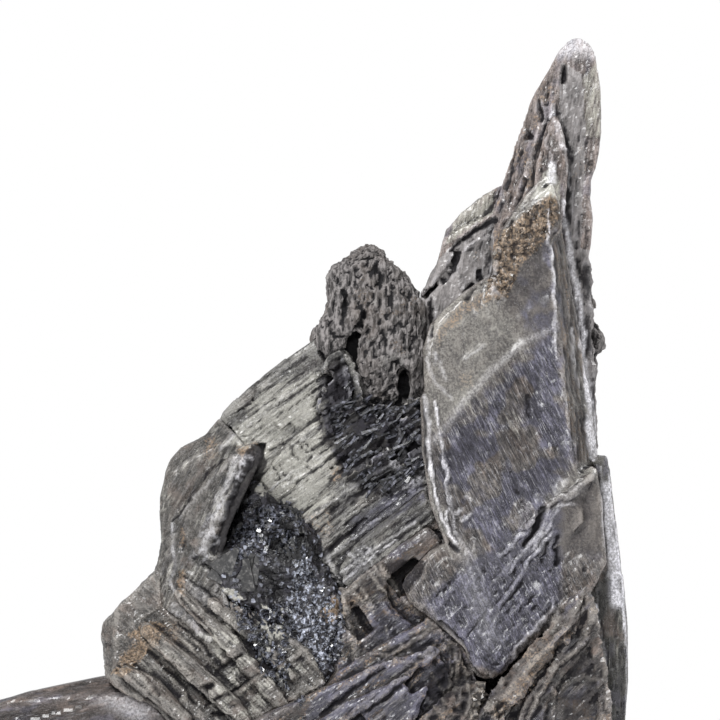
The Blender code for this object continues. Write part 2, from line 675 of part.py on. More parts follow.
def clay_nodules():
    """Rounded clay nodules down the strip of clay behind the front blade's right edge."""
    body = slab(
        [
            (41.0, 120.0), (44.6, 119.0), (45.6, 108.0), (46.6, 96.0), (46.2, 84.0), (42.0, 62.0),
            (34.0, 62.0), (38.0, 100.0),
        ],
        depth=10.6, thickness=5.4, turn=-0.02,
    )
    lumps = [
        # (x, y, z, radius)
        (45.0, 13.2, 117.0, 1.9),
        (45.0, 12.6, 113.0, 1.2),
        (46.2, 12.0, 109.6, 2.1),
        (46.2, 13.2, 103.6, 2.6),
        (47.4, 12.6, 101.6, 2.4),
        (46.0, 12.0, 97.0, 2.2),
        (45.6, 13.2, 94.0, 1.9),
        (45.6, 12.6, 90.0, 1.7),
        (44.6, 12.0, 86.0, 1.6),
        (43.4, 13.2, 106.6, 2.4),
        (44.0, 12.6, 99.0, 2.8),
    ]
    join(body, *[ball(*lump) for lump in lumps])
    return roughen(body, NODULE_FACE, strength=0.5, size=2.2, triangles=320)


def clay_matrix():
    """The clay that the crystals grow from: a broad lump with a flat broken base, a knob and nodules."""
    body = slab(
        [
            (-46.0, -4.0), (-48.0, 14.0), (-38.0, 30.0), (-26.0, 44.0), (-20.0, 64.0), (-8.0, 80.0),
            (10.0, 88.0), (30.0, 84.0), (42.0, 72.0), (46.0, 46.0), (48.0, 20.0), (46.0, -4.0),
        ],
        depth=-2.0, thickness=20, lean=0.05, back_lean=-0.08,
    )
    foot = slab(
        [(-44.0, -4.0), (-46.0, 8.0), (-34.0, 16.0), (0.0, 20.0), (36.0, 16.0), (46.0, 8.0), (44.0, -4.0)],
        depth=-17.0, thickness=42, lean=0.22, back_lean=-0.5,
    )
    mound = slab(
        [(-34.0, -4.0), (-30.0, 18.0), (-16.0, 34.0), (10.0, 40.0), (34.0, 30.0), (40.0, -4.0)],
        depth=6.0, thickness=22, back_lean=-0.35,
    )
    for broken in (foot, mound):
        facet(broken, (-40.0, -11.0, 6.0), (-0.74, -0.66, 0.12))
        facet(broken, (-36.0, 16.0, 6.0), (-0.62, 0.74, 0.24))
        facet(broken, (38.0, 20.0, 6.0), (0.58, 0.78, 0.22))
    roughen(join(body, foot, mound), CLAY_FACE, strength=3.2, size=9.0, triangles=320)
    return facet(join(body, clay_knob(), clay_nodules()), (0, 0, 0), (0, 0, -1))


# ---------------------------------------------------------------- putting it together

# Each name, its maker and its look. An earlier crystal keeps its shape; each later one is cut back from it.
PARTS = [
    ("front_blade", front_blade, CRYSTAL),
    ("corner_blade", corner_blade, CRYSTAL),
    ("ribbed_crystal", ribbed_crystal, CRYSTAL),
    ("right_prism", right_prism, CRYSTAL),
    ("left_crystal", left_crystal, CRYSTAL),
    ("stained_crystal", stained_crystal, STAINED),
    ("rear_spire", rear_spire, CRYSTAL),
    ("fan_crystal", fan_crystal, CLEAR_CRYSTAL),
    ("druse_crust", druse_crust, DRUSE),
    ("side_blade", side_blade, BROWN_CRYSTAL),
    ("back_blade_left", back_blade_left, CRYSTAL),
    ("back_blade_right", back_blade_right, CRYSTAL),
    ("clay_matrix", clay_matrix, CLAY),
]


def room_for(maker, gap):
    """The space that a crystal needs: the crystal as its maker shapes it, grown by the gap."""
    global swell
    swell = gap
    room = maker()
    swell = 0.0
    return room


def bounds(obj):
    corners = [vert.co for vert in obj.data.vertices]
    return [(min(c[k] for c in corners), max(c[k] for c in corners)) for k in range(3)]


def boxes_meet(a, b):
    overlaps = []
    for (low, high), (other_low, other_high) in zip(bounds(a), bounds(b)):
        overlaps.append(low < other_high and other_low < high)
    return all(overlaps)


def file_under(obj, collection):
    """Moves the object into this collection alone."""
    for other in list(obj.users_collection):
        other.objects.unlink(obj)
    collection.objects.link(obj)


def main():
    clear_scene()
    specimen = bpy.data.collections.new("gypsum_specimen")
    bpy.context.scene.collection.children.link(specimen)
    rooms = []
    for name, maker, look in PARTS:
        obj = maker()
        obj.name = name
        obj.data.name = name
        for room in rooms:
            if boxes_meet(obj, room):
                cut(obj, new_object("cutter", room.data.copy()))
        obj.data.materials.clear()
        obj.data.materials.append(material(name, look))
        file_under(obj, specimen)
        rooms.append(room_for(maker, CRUST_GAP if look is DRUSE else GAP))
    for room in rooms:
        bpy.data.objects.remove(room)


main()
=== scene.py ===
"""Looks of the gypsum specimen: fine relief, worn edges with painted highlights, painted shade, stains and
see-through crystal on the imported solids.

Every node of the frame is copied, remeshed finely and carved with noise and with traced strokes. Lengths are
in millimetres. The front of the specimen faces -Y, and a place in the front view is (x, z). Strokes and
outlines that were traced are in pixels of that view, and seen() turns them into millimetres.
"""

import math
from types import SimpleNamespace

import bmesh
import bpy
import numpy as np
from mathutils import Euler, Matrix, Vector

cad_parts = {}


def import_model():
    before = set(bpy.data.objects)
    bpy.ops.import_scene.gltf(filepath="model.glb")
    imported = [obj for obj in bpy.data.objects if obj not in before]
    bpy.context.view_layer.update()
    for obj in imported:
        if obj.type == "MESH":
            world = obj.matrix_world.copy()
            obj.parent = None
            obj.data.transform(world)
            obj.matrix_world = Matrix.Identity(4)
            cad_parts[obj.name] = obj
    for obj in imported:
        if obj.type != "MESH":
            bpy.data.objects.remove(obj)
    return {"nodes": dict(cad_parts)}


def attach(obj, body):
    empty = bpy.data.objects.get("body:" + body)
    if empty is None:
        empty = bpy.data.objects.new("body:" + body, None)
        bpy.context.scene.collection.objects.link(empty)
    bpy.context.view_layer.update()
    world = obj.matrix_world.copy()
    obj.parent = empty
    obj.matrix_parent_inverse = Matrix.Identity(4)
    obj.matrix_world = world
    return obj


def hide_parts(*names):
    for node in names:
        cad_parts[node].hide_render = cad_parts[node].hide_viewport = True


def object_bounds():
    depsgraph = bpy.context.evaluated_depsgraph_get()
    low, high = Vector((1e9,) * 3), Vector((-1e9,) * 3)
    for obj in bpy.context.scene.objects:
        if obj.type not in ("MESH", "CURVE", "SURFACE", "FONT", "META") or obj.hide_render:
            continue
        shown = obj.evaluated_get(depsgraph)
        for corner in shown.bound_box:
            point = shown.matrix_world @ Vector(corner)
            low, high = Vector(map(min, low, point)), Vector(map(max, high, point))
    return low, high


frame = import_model()
cad_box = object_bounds()

MM = 0.001
COARSER = 1.0
FOREMOST = cad_box[0][1] / MM - 1.3  # no relief stands further forward than this
SEAM = 0.24  # every skin stands this far proud of its solid, which closes the seams between the crystals

# The direction of each crystal's growth lines in the front view, in degrees up to the right.
GROWTH = 36.0  # the parallel layers of the fan and of the ribbed crystal
SILK = -62.0  # the silky lines of the front blade
SILK_STREAKS = -64.0  # and the streaks painted on it
STAINED_RIDGES = -43.0
CORNER_LINES = 46.0
SIDE_LINES = 12.0

# What the vertices of a skin hold, from 0 to 1: coats of colour, how clear the crystal is under them, and
# silk, which is how strongly the growth lines show. Besides real colour, the dark coat carries painted shade,
# the frosted coat painted highlights, the pale coat painted light in places, and silk sets painted sheen lines.
MASKS = ("pale", "dark", "rust", "clay", "violet", "clear", "frost_and_highlight", "silk")

# ---------------------------------------------------------------- noise

CELLS = 64  # on each side of the lattice, which repeats
WRAP = CELLS - 1  # a cell's number & WRAP is its place in the lattice
LATTICE = np.random.default_rng(11).random((CELLS, CELLS, CELLS)).astype(np.float32)
FINER = 0.55  # the weight of each finer noise against the one before it


def ease(low, high, value):
    """Goes smoothly from 0 at low to 1 at high; high may be the smaller."""
    t = np.clip((value - low) / (high - low), 0, 1)
    return t * t * (3 - 2 * t)


def noise(points, size, seed=0):
    """Smooth noise from 0 to 1. size is its grain in mm, one number or one for each axis."""
    scaled = points / np.asarray(size, dtype=float) + seed * 7.31
    cell = np.floor(scaled).astype(int)
    t = scaled - cell
    t = t * t * (3 - 2 * t)
    total = np.zeros(len(points))
    for corner in np.ndindex(2, 2, 2):
        near = (cell + corner) & WRAP
        weight = np.prod(np.where(np.array(corner) == 1, t, 1 - t), axis=1)
        total += weight * LATTICE[near[:, 0], near[:, 1], near[:, 2]]
    return total


def fractal(points, size, seed, octaves=3):
    """Noise with finer and finer noise added, from 0 to 1."""
    size = np.asarray(size, dtype=float)
    total, weight = np.zeros(len(points)), 0.0
    for octave in range(octaves):
        share = FINER**octave
        total += share * noise(points, size / 2**octave, seed + octave)
        weight += share
    return total / weight


def waves(points, size, seed, octaves=3):
    """The same noise, from -0.5 to 0.5."""
    return fractal(points, size, seed, octaves) - 0.5


def swayed(points, size, reach, seed):
    """The points moved by a noise, so that what is laid out on them gets an uneven edge."""
    return points + waves(points, size, seed)[:, None] * reach


def creases(points, size, seed, octaves=3):
    """Sharp lines where the noise crosses its middle: 1 on a line, falling to 0 between them."""
    return 1 - np.abs(2 * fractal(points, size, seed, octaves) - 1) * 2.2


def pits(points, size, seed):
    """Distance from each point to the nearest of scattered centres, in grains of the given size."""
    scaled = points / np.asarray(size, dtype=float) + seed * 5.17
    cell = np.floor(scaled).astype(int)
    nearest = np.full(len(points), 9.0)
    for step in np.ndindex(3, 3, 3):
        near = cell + np.array(step) - 1
        x, y, z = near.T
        centre = [LATTICE[(x + 9 * k) & WRAP, (y + 5 * k) & WRAP, (z + 3 * k) & WRAP] for k in (1, 2, 3)]
        nearest = np.minimum(nearest, np.linalg.norm(near + np.stack(centre, axis=1) - scaled, axis=1))
    return nearest


def turned(points, degrees):
    """The points in axes turned in the front view: along the direction, depth, and across it."""
    angle = math.radians(degrees)
    x, y, z = points.T
    along = x * math.cos(angle) + z * math.sin(angle)
    across = z * math.cos(angle) - x * math.sin(angle)
    return np.stack([along, y, across], axis=1)


def laths(points, degrees, length, width, seed):
    """Random levels from 0 to 1 on long parallel strips, each broken into lengths, as cleaved gypsum is."""
    along, depth, across = turned(points, degrees).T
    sway = noise(points, 11.0, seed + 3) - 0.5
    row = np.floor((across + 0.35 * depth + sway * width) / width).astype(int)
    shift = LATTICE[row & WRAP, seed & WRAP, 5] * 9
    column = np.floor(along / length + shift).astype(int)
    return LATTICE[row & WRAP, column & WRAP, (seed + 17) & WRAP]


def steps(points, degrees, length, width, seed):
    """The same levels, from -0.5 to 0.5."""
    return laths(points, degrees, length, width, seed) - 0.5


# ---------------------------------------------------------------- marks in the front view

# The front view is 720 pixels wide and high, and a pixel is (across, down) from its top left corner.
PIXEL = 0.2
LEFT, TOP = -72.0, 170.0  # where that corner lies


def seen(path):
    """A path of pixels as places in the front view, in millimetres."""
    return [(LEFT + PIXEL * across, TOP - PIXEL * down) for across, down in path]


def within(place, path, reach):
    """Numbers of the places that lie in the box around a path, grown by the reach."""
    low, high = np.min(path, axis=0) - reach, np.max(path, axis=0) + reach
    return np.flatnonzero(np.all((place > low) & (place < high), axis=1))


def segment_distance(place, a, b):
    """How far each place is from the line between two points, and how far along the line, from 0 to 1."""
    a, b = np.array(a), np.array(b)
    side = b - a
    share = np.clip((place - a) @ side / (side @ side), 0, 1)
    return np.linalg.norm(place - a - share[:, None] * side, axis=1), share


def stroke(points, path, width, soft=0.35):
    """1 along a path of pixels, falling to 0 beside it. width, in mm, is a number, or its start and end."""
    path = seen(path)
    start_width, end_width = (width, width) if np.isscalar(width) else width
    near = within(points[:, (0, 2)], path, max(start_width, end_width) / 2 + soft)
    place = points[near][:, (0, 2)]
    runs = [math.dist(a, b) for a, b in zip(path, path[1:])]
    best = np.full(len(near), 1e9)
    gone = 0.0
    for a, b, run in zip(path, path[1:], runs):
        distance, share = segment_distance(place, a, b)
        half = (start_width + (end_width - start_width) * (gone + share * run) / sum(runs)) / 2
        best = np.minimum(best, distance - half)
        gone += run
    mark = np.zeros(len(points))
    mark[near] = ease(soft, -soft / 2, best)
    return mark


def patch(points, outline, soft=1.0):
    """1 inside an outline of pixels, falling to 0 outside it over so many mm."""
    outline = seen(outline)
    near = within(points[:, (0, 2)], outline, soft)
    place = points[near][:, (0, 2)]
    inside = np.zeros(len(near), dtype=bool)
    nearest = np.full(len(near), 1e9)
    for a, b in zip(outline, outline[1:] + outline[:1]):
        nearest = np.minimum(nearest, segment_distance(place, a, b)[0])
        spans = (a[1] > place[:, 1]) != (b[1] > place[:, 1])
        rise = (b[1] - a[1]) or 1e-9
        crossing = a[0] + (place[:, 1] - a[1]) * (b[0] - a[0]) / rise
        inside ^= spans & (place[:, 0] < crossing)
    mark = np.zeros(len(points))
    mark[near] = ease(-soft, soft, np.where(inside, nearest, -nearest))
    return mark


def spot(points, x, z, radius, soft=0.5):
    """1 within a radius of a place in the front view, with a soft rim."""
    distance = np.hypot(points[:, 0] - x, points[:, 2] - z)
    return ease(radius * (1 + soft), radius * (1 - soft), distance)


# Each row: a path, its width in pixels or the widths at its ends, its height, and how frosted it is, with a
# painted highlight along the ridge.
RIDGES = [
    # The fan's layers
    ([(222, 448), (242, 430), (262, 413)], 4, 0.3, 0.45),
    ([(262, 409), (280, 399), (297, 391)], 3, 0.4, 0.5),
    ([(258, 498), (283, 480), (310, 462), (326, 454)], 2, 0.35, 0.7),
    ([(282, 489), (303, 475), (322, 463)], 2, 0.25, 0.4),
    ([(300, 440), (322, 424), (338, 410)], 2, 0.2, 0.3),
    ([(304, 524), (332, 502), (364, 480), (400, 458)], 3, 0.4, 0.3),
    ([(320, 545), (345, 520), (380, 498), (424, 470)], 3, 0.35, 0.2),
    ([(412, 488), (424, 478)], 3, 0.3, 0.4),
    ([(334, 344), (343, 352), (345, 362)], 4, 0.7, 0.35),
    ([(344, 368), (350, 382), (353, 400)], 6, 0.8, 0.45),
    ([(396, 378), (397, 395), (396, 415)], 3, 0.8, 0.3),
    ([(400, 430), (404, 445), (405, 462)], 5, 0.7, 0.2),
    ([(356, 440), (372, 430), (388, 422)], 3, 0.5, 0.15),
    ([(352, 470), (380, 456), (412, 440)], 3, 0.5, 0.15),
    # The ribbed crystal
    ([(322, 560), (345, 545), (380, 519), (425, 488)], 3, 0.4, 0.35),
    ([(345, 572), (376, 548), (402, 530), (432, 508)], 3, 0.5, 0.4),
    ([(381, 566), (390, 580), (398, 594)], 6, 0.8, 0.5),
    ([(398, 594), (418, 612), (438, 624)], 4, 0.6, 0.35),
    ([(344, 590), (348, 620), (356, 654)], 6, 0.8, 0.8),
    ([(322, 548), (330, 562), (336, 580)], 5, 0.4, 0.7),
    ([(392, 462), (400, 468), (402, 478)], 5, 0.3, 0.9),
    ([(404, 488), (414, 482), (420, 476)], 3, 0.3, 0.7),
    ([(348, 590), (362, 577)], 6, 0.5, 0.5),
    ([(362, 586), (374, 606)], 2, 0.4, 0.6),
    ([(386, 624), (389, 640)], 1.5, 0.2, 0.5),
    ([(330, 697), (365, 672), (400, 648), (437, 622)], 4, 0.6, 0.4),
    ([(345, 716), (380, 692), (418, 662)], 4, 0.6, 0.35),
    ([(388, 652), (402, 658), (418, 660)], 3, 0.4, 0.3),
    ([(350, 552), (362, 562), (376, 580), (388, 596)], 2, 0.4, 1.0),
    ([(356, 548), (372, 562), (384, 580)], 1.5, 0.3, 1.0),
    ([(364, 545), (376, 556), (386, 570)], 1.5, 0.3, 0.8),
    ([(346, 580), (360, 566), (378, 552), (396, 540)], 1.5, 0.3, 1.0),
    ([(340, 572), (356, 560), (370, 548)], 1.5, 0.3, 1.0),
    ([(352, 590), (366, 600), (374, 612)], 1.5, 0.3, 0.8),
    ([(322, 566), (334, 572), (346, 590), (346, 612)], 2.5, 0.5, 0.5),
    ([(334, 600), (338, 624), (342, 650)], 2.5, 0.5, 0.5),
    ([(352, 656), (366, 650), (386, 652)], 2, 0.4, 0.4),
    ([(400, 640), (410, 650), (424, 652), (436, 640)], 2, 0.4, 0.5),
    ([(408, 632), (424, 626), (440, 630), (450, 640)], 2, 0.4, 0.6),
    ([(444, 640), (450, 652), (450, 672), (446, 690)], 1.5, 0.4, 0.6),
    ([(420, 690), (432, 700), (444, 716)], 2, 0.5, 0.4),
    ([(430, 672), (440, 684), (446, 700)], 1.5, 0.4, 0.4),
    ([(468, 676), (484, 684), (498, 690), (510, 704)], 2, 0.5, 0.5),
    ([(474, 690), (490, 700), (496, 716)], 2, 0.5, 0.5),
    ([(336, 706), (356, 692), (384, 668), (404, 650)], 1.5, 0.3, 0.45),
    ([(352, 708), (374, 690), (398, 670), (412, 656)], 1.5, 0.3, 0.45),
    ([(376, 714), (396, 696), (418, 676)], 1.5, 0.3, 0.4),
    ([(440, 627), (453, 640), (457, 664), (454, 688)], 4, 0.8, 0.5),
    ([(461, 652), (468, 680), (468, 700), (461, 719)], 3, 0.7, 0.45),
    ([(422, 660), (440, 646), (452, 642)], 5, 0.5, 0.35),
    # Below the plate, and the corner blade
    ([(514, 645), (512, 660), (500, 680), (496, 700)], 3, 0.6, 0.4),
    ([(553, 606), (540, 622), (514, 645)], 3, 0.5, 0.4),
    ([(552, 596), (555, 612), (550, 630)], 3, 0.4, 0.4),
    ([(578, 593), (556, 632), (520, 668), (486, 706)], 6, 0.9, 0.45),
    ([(586, 594), (588, 618), (578, 640)], 7, 0.8, 0.6),
    ([(585, 634), (556, 660), (536, 690), (527, 716)], 4, 0.9, 0.5),
    ([(590, 596), (600, 640), (606, 706)], 4, 0.8, 0.45),
    ([(550, 682), (552, 700), (548, 718)], 3, 0.7, 0.4),
    ([(560, 684), (580, 672), (600, 678)], 4, 0.5, 0.3),
    # The plate and the foot of the front blade
    ([(500, 602), (517, 576), (530, 557), (548, 532)], 3, 0.7, 0.7),
    ([(498, 556), (510, 545), (522, 532)], 3, 0.5, 0.5),
    ([(522, 526), (545, 505), (566, 492), (590, 476)], 3, 0.6, 0.4),
    ([(565, 497), (578, 486), (594, 472)], 4, 0.4, 0.25),
    ([(560, 504), (574, 502)], 1.5, 0.3, 0.8),
    ([(464, 548), (470, 572), (480, 600)], 2, 0.2, 0.6),
    ([(470, 552), (484, 580), (488, 612)], 1.5, 0.2, 0.4),
    ([(476, 640), (480, 610), (492, 582), (508, 560)], 1.5, 0.15, 0.35),
    ([(490, 634), (498, 604), (514, 578), (534, 552)], 1.5, 0.15, 0.35),
    ([(504, 572), (520, 552), (534, 536)], 2, 0.4, 0.6),
    ([(530, 548), (544, 528), (558, 508)], 2, 0.4, 0.5),
    ([(514, 645), (530, 628), (553, 606)], 1.5, 0.3, 0.7),
    ([(545, 504), (547, 516)], 2, 0.4, 0.7),
    # The front blade
    ([(424, 398), (426, 440), (432, 480), (440, 517), (448, 530), (458, 548)], 3.5, 0.7, 1.6),
    ([(432, 400), (439, 440), (446, 475), (448, 510), (446, 518)], 2.0, 0.5, 1.4),
    ([(441, 460), (449, 490), (453, 515), (455, 530)], 1.5, 0.4, 0.7),
    ([(455, 530), (462, 545), (472, 555), (472, 540)], 2.0, 0.4, 0.6),
    ([(428, 330), (427, 360), (436, 384), (452, 398)], 2, 0.3, 0.6),
    ([(434, 352), (436, 362)], 2, 0.3, 0.8),
    ([(440, 362), (445, 380)], 2, 0.2, 0.6),
    ([(546, 212), (549, 250), (553, 290), (554, 330), (556, 358)], 2.0, 0.4, 1.3),
    ([(556, 358), (562, 386), (566, 420), (569, 448)], 1.5, 0.35, 0.55),
    ([(560, 206), (566, 240), (572, 280), (577, 320)], 1.5, 0.3, 0.55),
    ([(562, 200), (573, 265), (580, 310), (583, 350)], (2, 5), 0.4, 2.0),
    ([(583, 350), (586, 400), (590, 455)], (5, 8), 0.3, 1.4),
    ([(465, 360), (485, 345)], 1.2, 0.2, 0.5),
    ([(571, 330), (572, 360), (576, 386)], 1.5, 0.25, 0.6),
    ([(552, 167), (551, 182)], 7, 0.2, 1.6),
    ([(497, 250), (490, 285), (494, 300)], 3, 0.4, 0.5),
    ([(503, 300), (492, 288)], 2, 0.4, 0.5),
    ([(466, 495), (469, 497)], 3.5, 0.3, 1.0),
    ([(455, 512), (461, 509)], 1.2, 0.2, 0.9),
    ([(460, 518), (468, 514), (472, 511)], 1.5, 0.2, 0.9),
    # The spire
    ([(553, 104), (551, 118), (557, 128), (562, 148)], 4, 0.5, 1.3),
    ([(548, 124), (546, 140), (552, 160)], 3, 0.4, 0.45),
    ([(541, 122), (532, 150), (527, 176)], 3, 0.4, 0.35),
    ([(516, 152), (508, 178), (502, 200)], 3, 0.4, 0.35),
    ([(566, 150), (571, 190), (577, 240)], 1.5, 0.3, 0.4),
    ([(570, 44), (582, 42), (594, 52)], 9, 0.0, 0.7),
    ([(494, 216), (476, 226), (460, 236)], 2.5, 0.4, 0.4),
    ([(492, 236), (476, 242), (466, 250)], 2.5, 0.5, 0.35),
    # The left and the stained crystal
    ([(238, 458), (230, 478), (219, 500), (212, 524), (205, 548)], 6, 0.6, 0.6),
    ([(236, 456), (212, 480), (192, 500), (180, 516)], 2, 0.3, 0.3),
    ([(173, 524), (175, 545), (176, 565), (172, 578), (176, 592)], 2, 0.35, 0.85),
    ([(186, 582), (202, 595), (220, 608)], 8, 0.3, 0.35),
    ([(216, 604), (226, 614), (234, 626)], 7, 0.3, 0.8),
    ([(178, 606), (198, 624), (214, 644), (228, 657)], 10, 0.35, 0.5),
    ([(176, 630), (196, 650)], 2.5, 0.3, 0.7),
    ([(152, 641), (166, 655), (182, 668), (200, 681)], 10, 0.4, 0.5),
    ([(140, 668), (158, 690), (178, 714)], 8, 0.35, 0.3),
    ([(128, 672), (140, 692), (152, 704)], 6, 0.3, 0.15),
    ([(184, 698), (200, 713)], 7, 0.3, 0.5),
    ([(116, 640), (134, 622), (160, 604)], 2, 0.2, 0.4),
    ([(240, 690), (256, 676), (264, 668)], 6, 0.4, 0.3),
    # The druse
    ([(284, 511), (296, 519), (301, 538), (296, 552), (287, 561)], 3, 0.8, 0.25),
]

# Each row: a path, its width in pixels or the widths at its ends, its depth, and how dark it is with
# painted shade in the groove.
GROOVES = [
    # Beside the fan, and in it
    ([(259, 448), (252, 470), (241, 492), (231, 512), (224, 530), (218, 548)], (9, 14), 1.6, 1.0),
    ([(238, 412), (250, 402), (262, 391)], 2, 0.3, 0.6),
    ([(250, 385), (256, 392)], 3, 0.3, 0.6),
    ([(270, 450), (283, 443)], 2, 0.4, 0.8),
    ([(288, 446), (300, 460)], 1.5, 0.3, 0.7),
    ([(298, 443), (308, 453)], 1.5, 0.3, 0.7),
    ([(303, 441), (312, 450)], 1.2, 0.3, 0.6),
    ([(273, 468), (279, 478)], 1.5, 0.3, 0.7),
    ([(278, 465), (284, 474)], 1.5, 0.3, 0.6),
    ([(262, 484), (270, 493)], 1.5, 0.3, 0.6),
    ([(300, 470), (318, 456), (334, 445)], 1.5, 0.3, 0.5),
    # The fan's dark hollow
    ([(364, 313), (360, 327), (352, 342), (350, 358), (354, 374), (357, 394)], (5, 9), 2.0, 1.0),
    ([(357, 394), (350, 405), (340, 413)], (7, 2), 1.4, 1.0),
    ([(322, 352), (327, 366), (334, 372), (346, 364)], 3, 1.0, 0.95),
    ([(334, 374), (341, 388)], 2.5, 0.8, 0.8),
    ([(398, 363), (404, 376), (409, 390), (406, 406), (400, 418)], (4, 8), 2.0, 1.0),
    ([(400, 418), (390, 430), (380, 446)], (4, 3), 1.0, 0.9),
    ([(401, 428), (408, 442), (410, 470)], 2.5, 1.0, 0.95),
    # The knob
    ([(343, 290), (345, 298), (344, 308)], 4, 1.2, 1.0),
    ([(369, 257), (366, 266)], 3, 0.9, 0.9),
    ([(382, 274), (379, 284)], 4, 0.8, 0.9),
    ([(426, 290), (430, 304), (429, 336)], 4, 1.0, 1.0),
    # The ribbed crystal
    ([(322, 556), (334, 545), (346, 534), (366, 519)], (4, 2), 1.0, 0.95),
    ([(330, 512), (350, 498), (384, 478)], 3, 0.6, 0.7),
    ([(345, 522), (380, 496), (420, 466)], 2, 0.4, 0.6),
    ([(430, 527), (446, 540), (456, 549)], (3, 6), 1.0, 0.9),
    ([(353, 602), (360, 617), (369, 629)], 3.5, 0.8, 0.9),
    ([(384, 600), (394, 608)], 3, 0.3, 0.6),
    ([(320, 712), (350, 690), (385, 664)], 2.5, 0.5, 0.6),
    ([(352, 716), (384, 694), (420, 668)], 3, 0.6, 0.7),
    ([(439, 621), (455, 637), (464, 646), (466, 661), (474, 671), (482, 678)], 4.5, 1.6, 1.0),
    ([(484, 700), (500, 684), (512, 668)], 4, 0.8, 0.7),
    ([(497, 712), (525, 686), (548, 650), (570, 620)], 3, 0.7, 0.6),
    # The plate
    ([(478, 655), (490, 660), (501, 659)], 1.2, 0.3, 0.8),
    ([(541, 508), (534, 524), (524, 544)], (7, 4), 1.4, 0.95),
    ([(556, 534), (555, 562)], 3.5, 0.9, 0.85),
    ([(546, 540), (540, 562)], 3, 0.6, 0.7),
    # The front blade
    ([(510, 470), (516, 490), (523, 508)], 2.5, 0.3, 0.6),
    ([(526, 398), (528, 416)], 4, 0.4, 0.6),
    ([(486, 405), (500, 407)], 5, 0.2, 0.5),
    # The spire
    ([(564, 66), (564, 80)], 4, 1.6, 1.0),
    ([(539, 98), (541, 120)], 3, 0.9, 0.9),
    ([(547, 92), (545, 104)], 2.5, 0.6, 0.7),
    ([(528, 134), (530, 136)], 5, 1.0, 0.9),
    ([(513, 148), (511, 172), (507, 190)], (3, 2), 0.9, 0.85),
    ([(526, 180), (520, 194), (514, 210)], (4, 2), 0.9, 0.85),
    ([(505, 224), (510, 222)], 5, 1.0, 0.95),
    ([(540, 145), (542, 172)], 2, 0.5, 0.6),
    ([(495, 219), (484, 227), (472, 233), (461, 241), (454, 250)], (5, 3), 0.8, 0.85),
    ([(459, 254), (452, 270), (443, 281)], (4, 5), 1.2, 1.0),
    ([(480, 271), (480, 281)], 3.5, 1.0, 0.95),
    ([(472, 286), (464, 298)], 5, 1.0, 0.95),
    # The left and the stained crystal
    ([(172, 520), (180, 510), (192, 499)], 1.5, 0.3, 0.6),
    ([(182, 597), (196, 612), (212, 632)], 3, 0.6, 0.75),
    ([(178, 620), (200, 640), (222, 663)], 2, 0.5, 0.8),
    ([(186, 576), (206, 588), (224, 604)], 2, 0.5, 0.6),
    ([(150, 650), (168, 668), (184, 684), (196, 702)], 2, 0.5, 0.6),
    ([(138, 664), (152, 678), (162, 692)], 3, 0.5, 0.6),
    ([(217, 669), (228, 662), (242, 654)], 2, 0.7, 0.8),
    ([(206, 703), (232, 690), (266, 666)], 2, 0.6, 0.7),
    ([(213, 682), (205, 688), (208, 698)], 4, 1.2, 1.0),
    ([(214, 712), (228, 714), (240, 720)], 3, 0.8, 0.95),
    ([(206, 565), (214, 572), (222, 580)], 3, 0.6, 0.8),
    # The druse
    ([(301, 518), (303, 540), (303, 556)], 3.5, 1.2, 1.0),
]

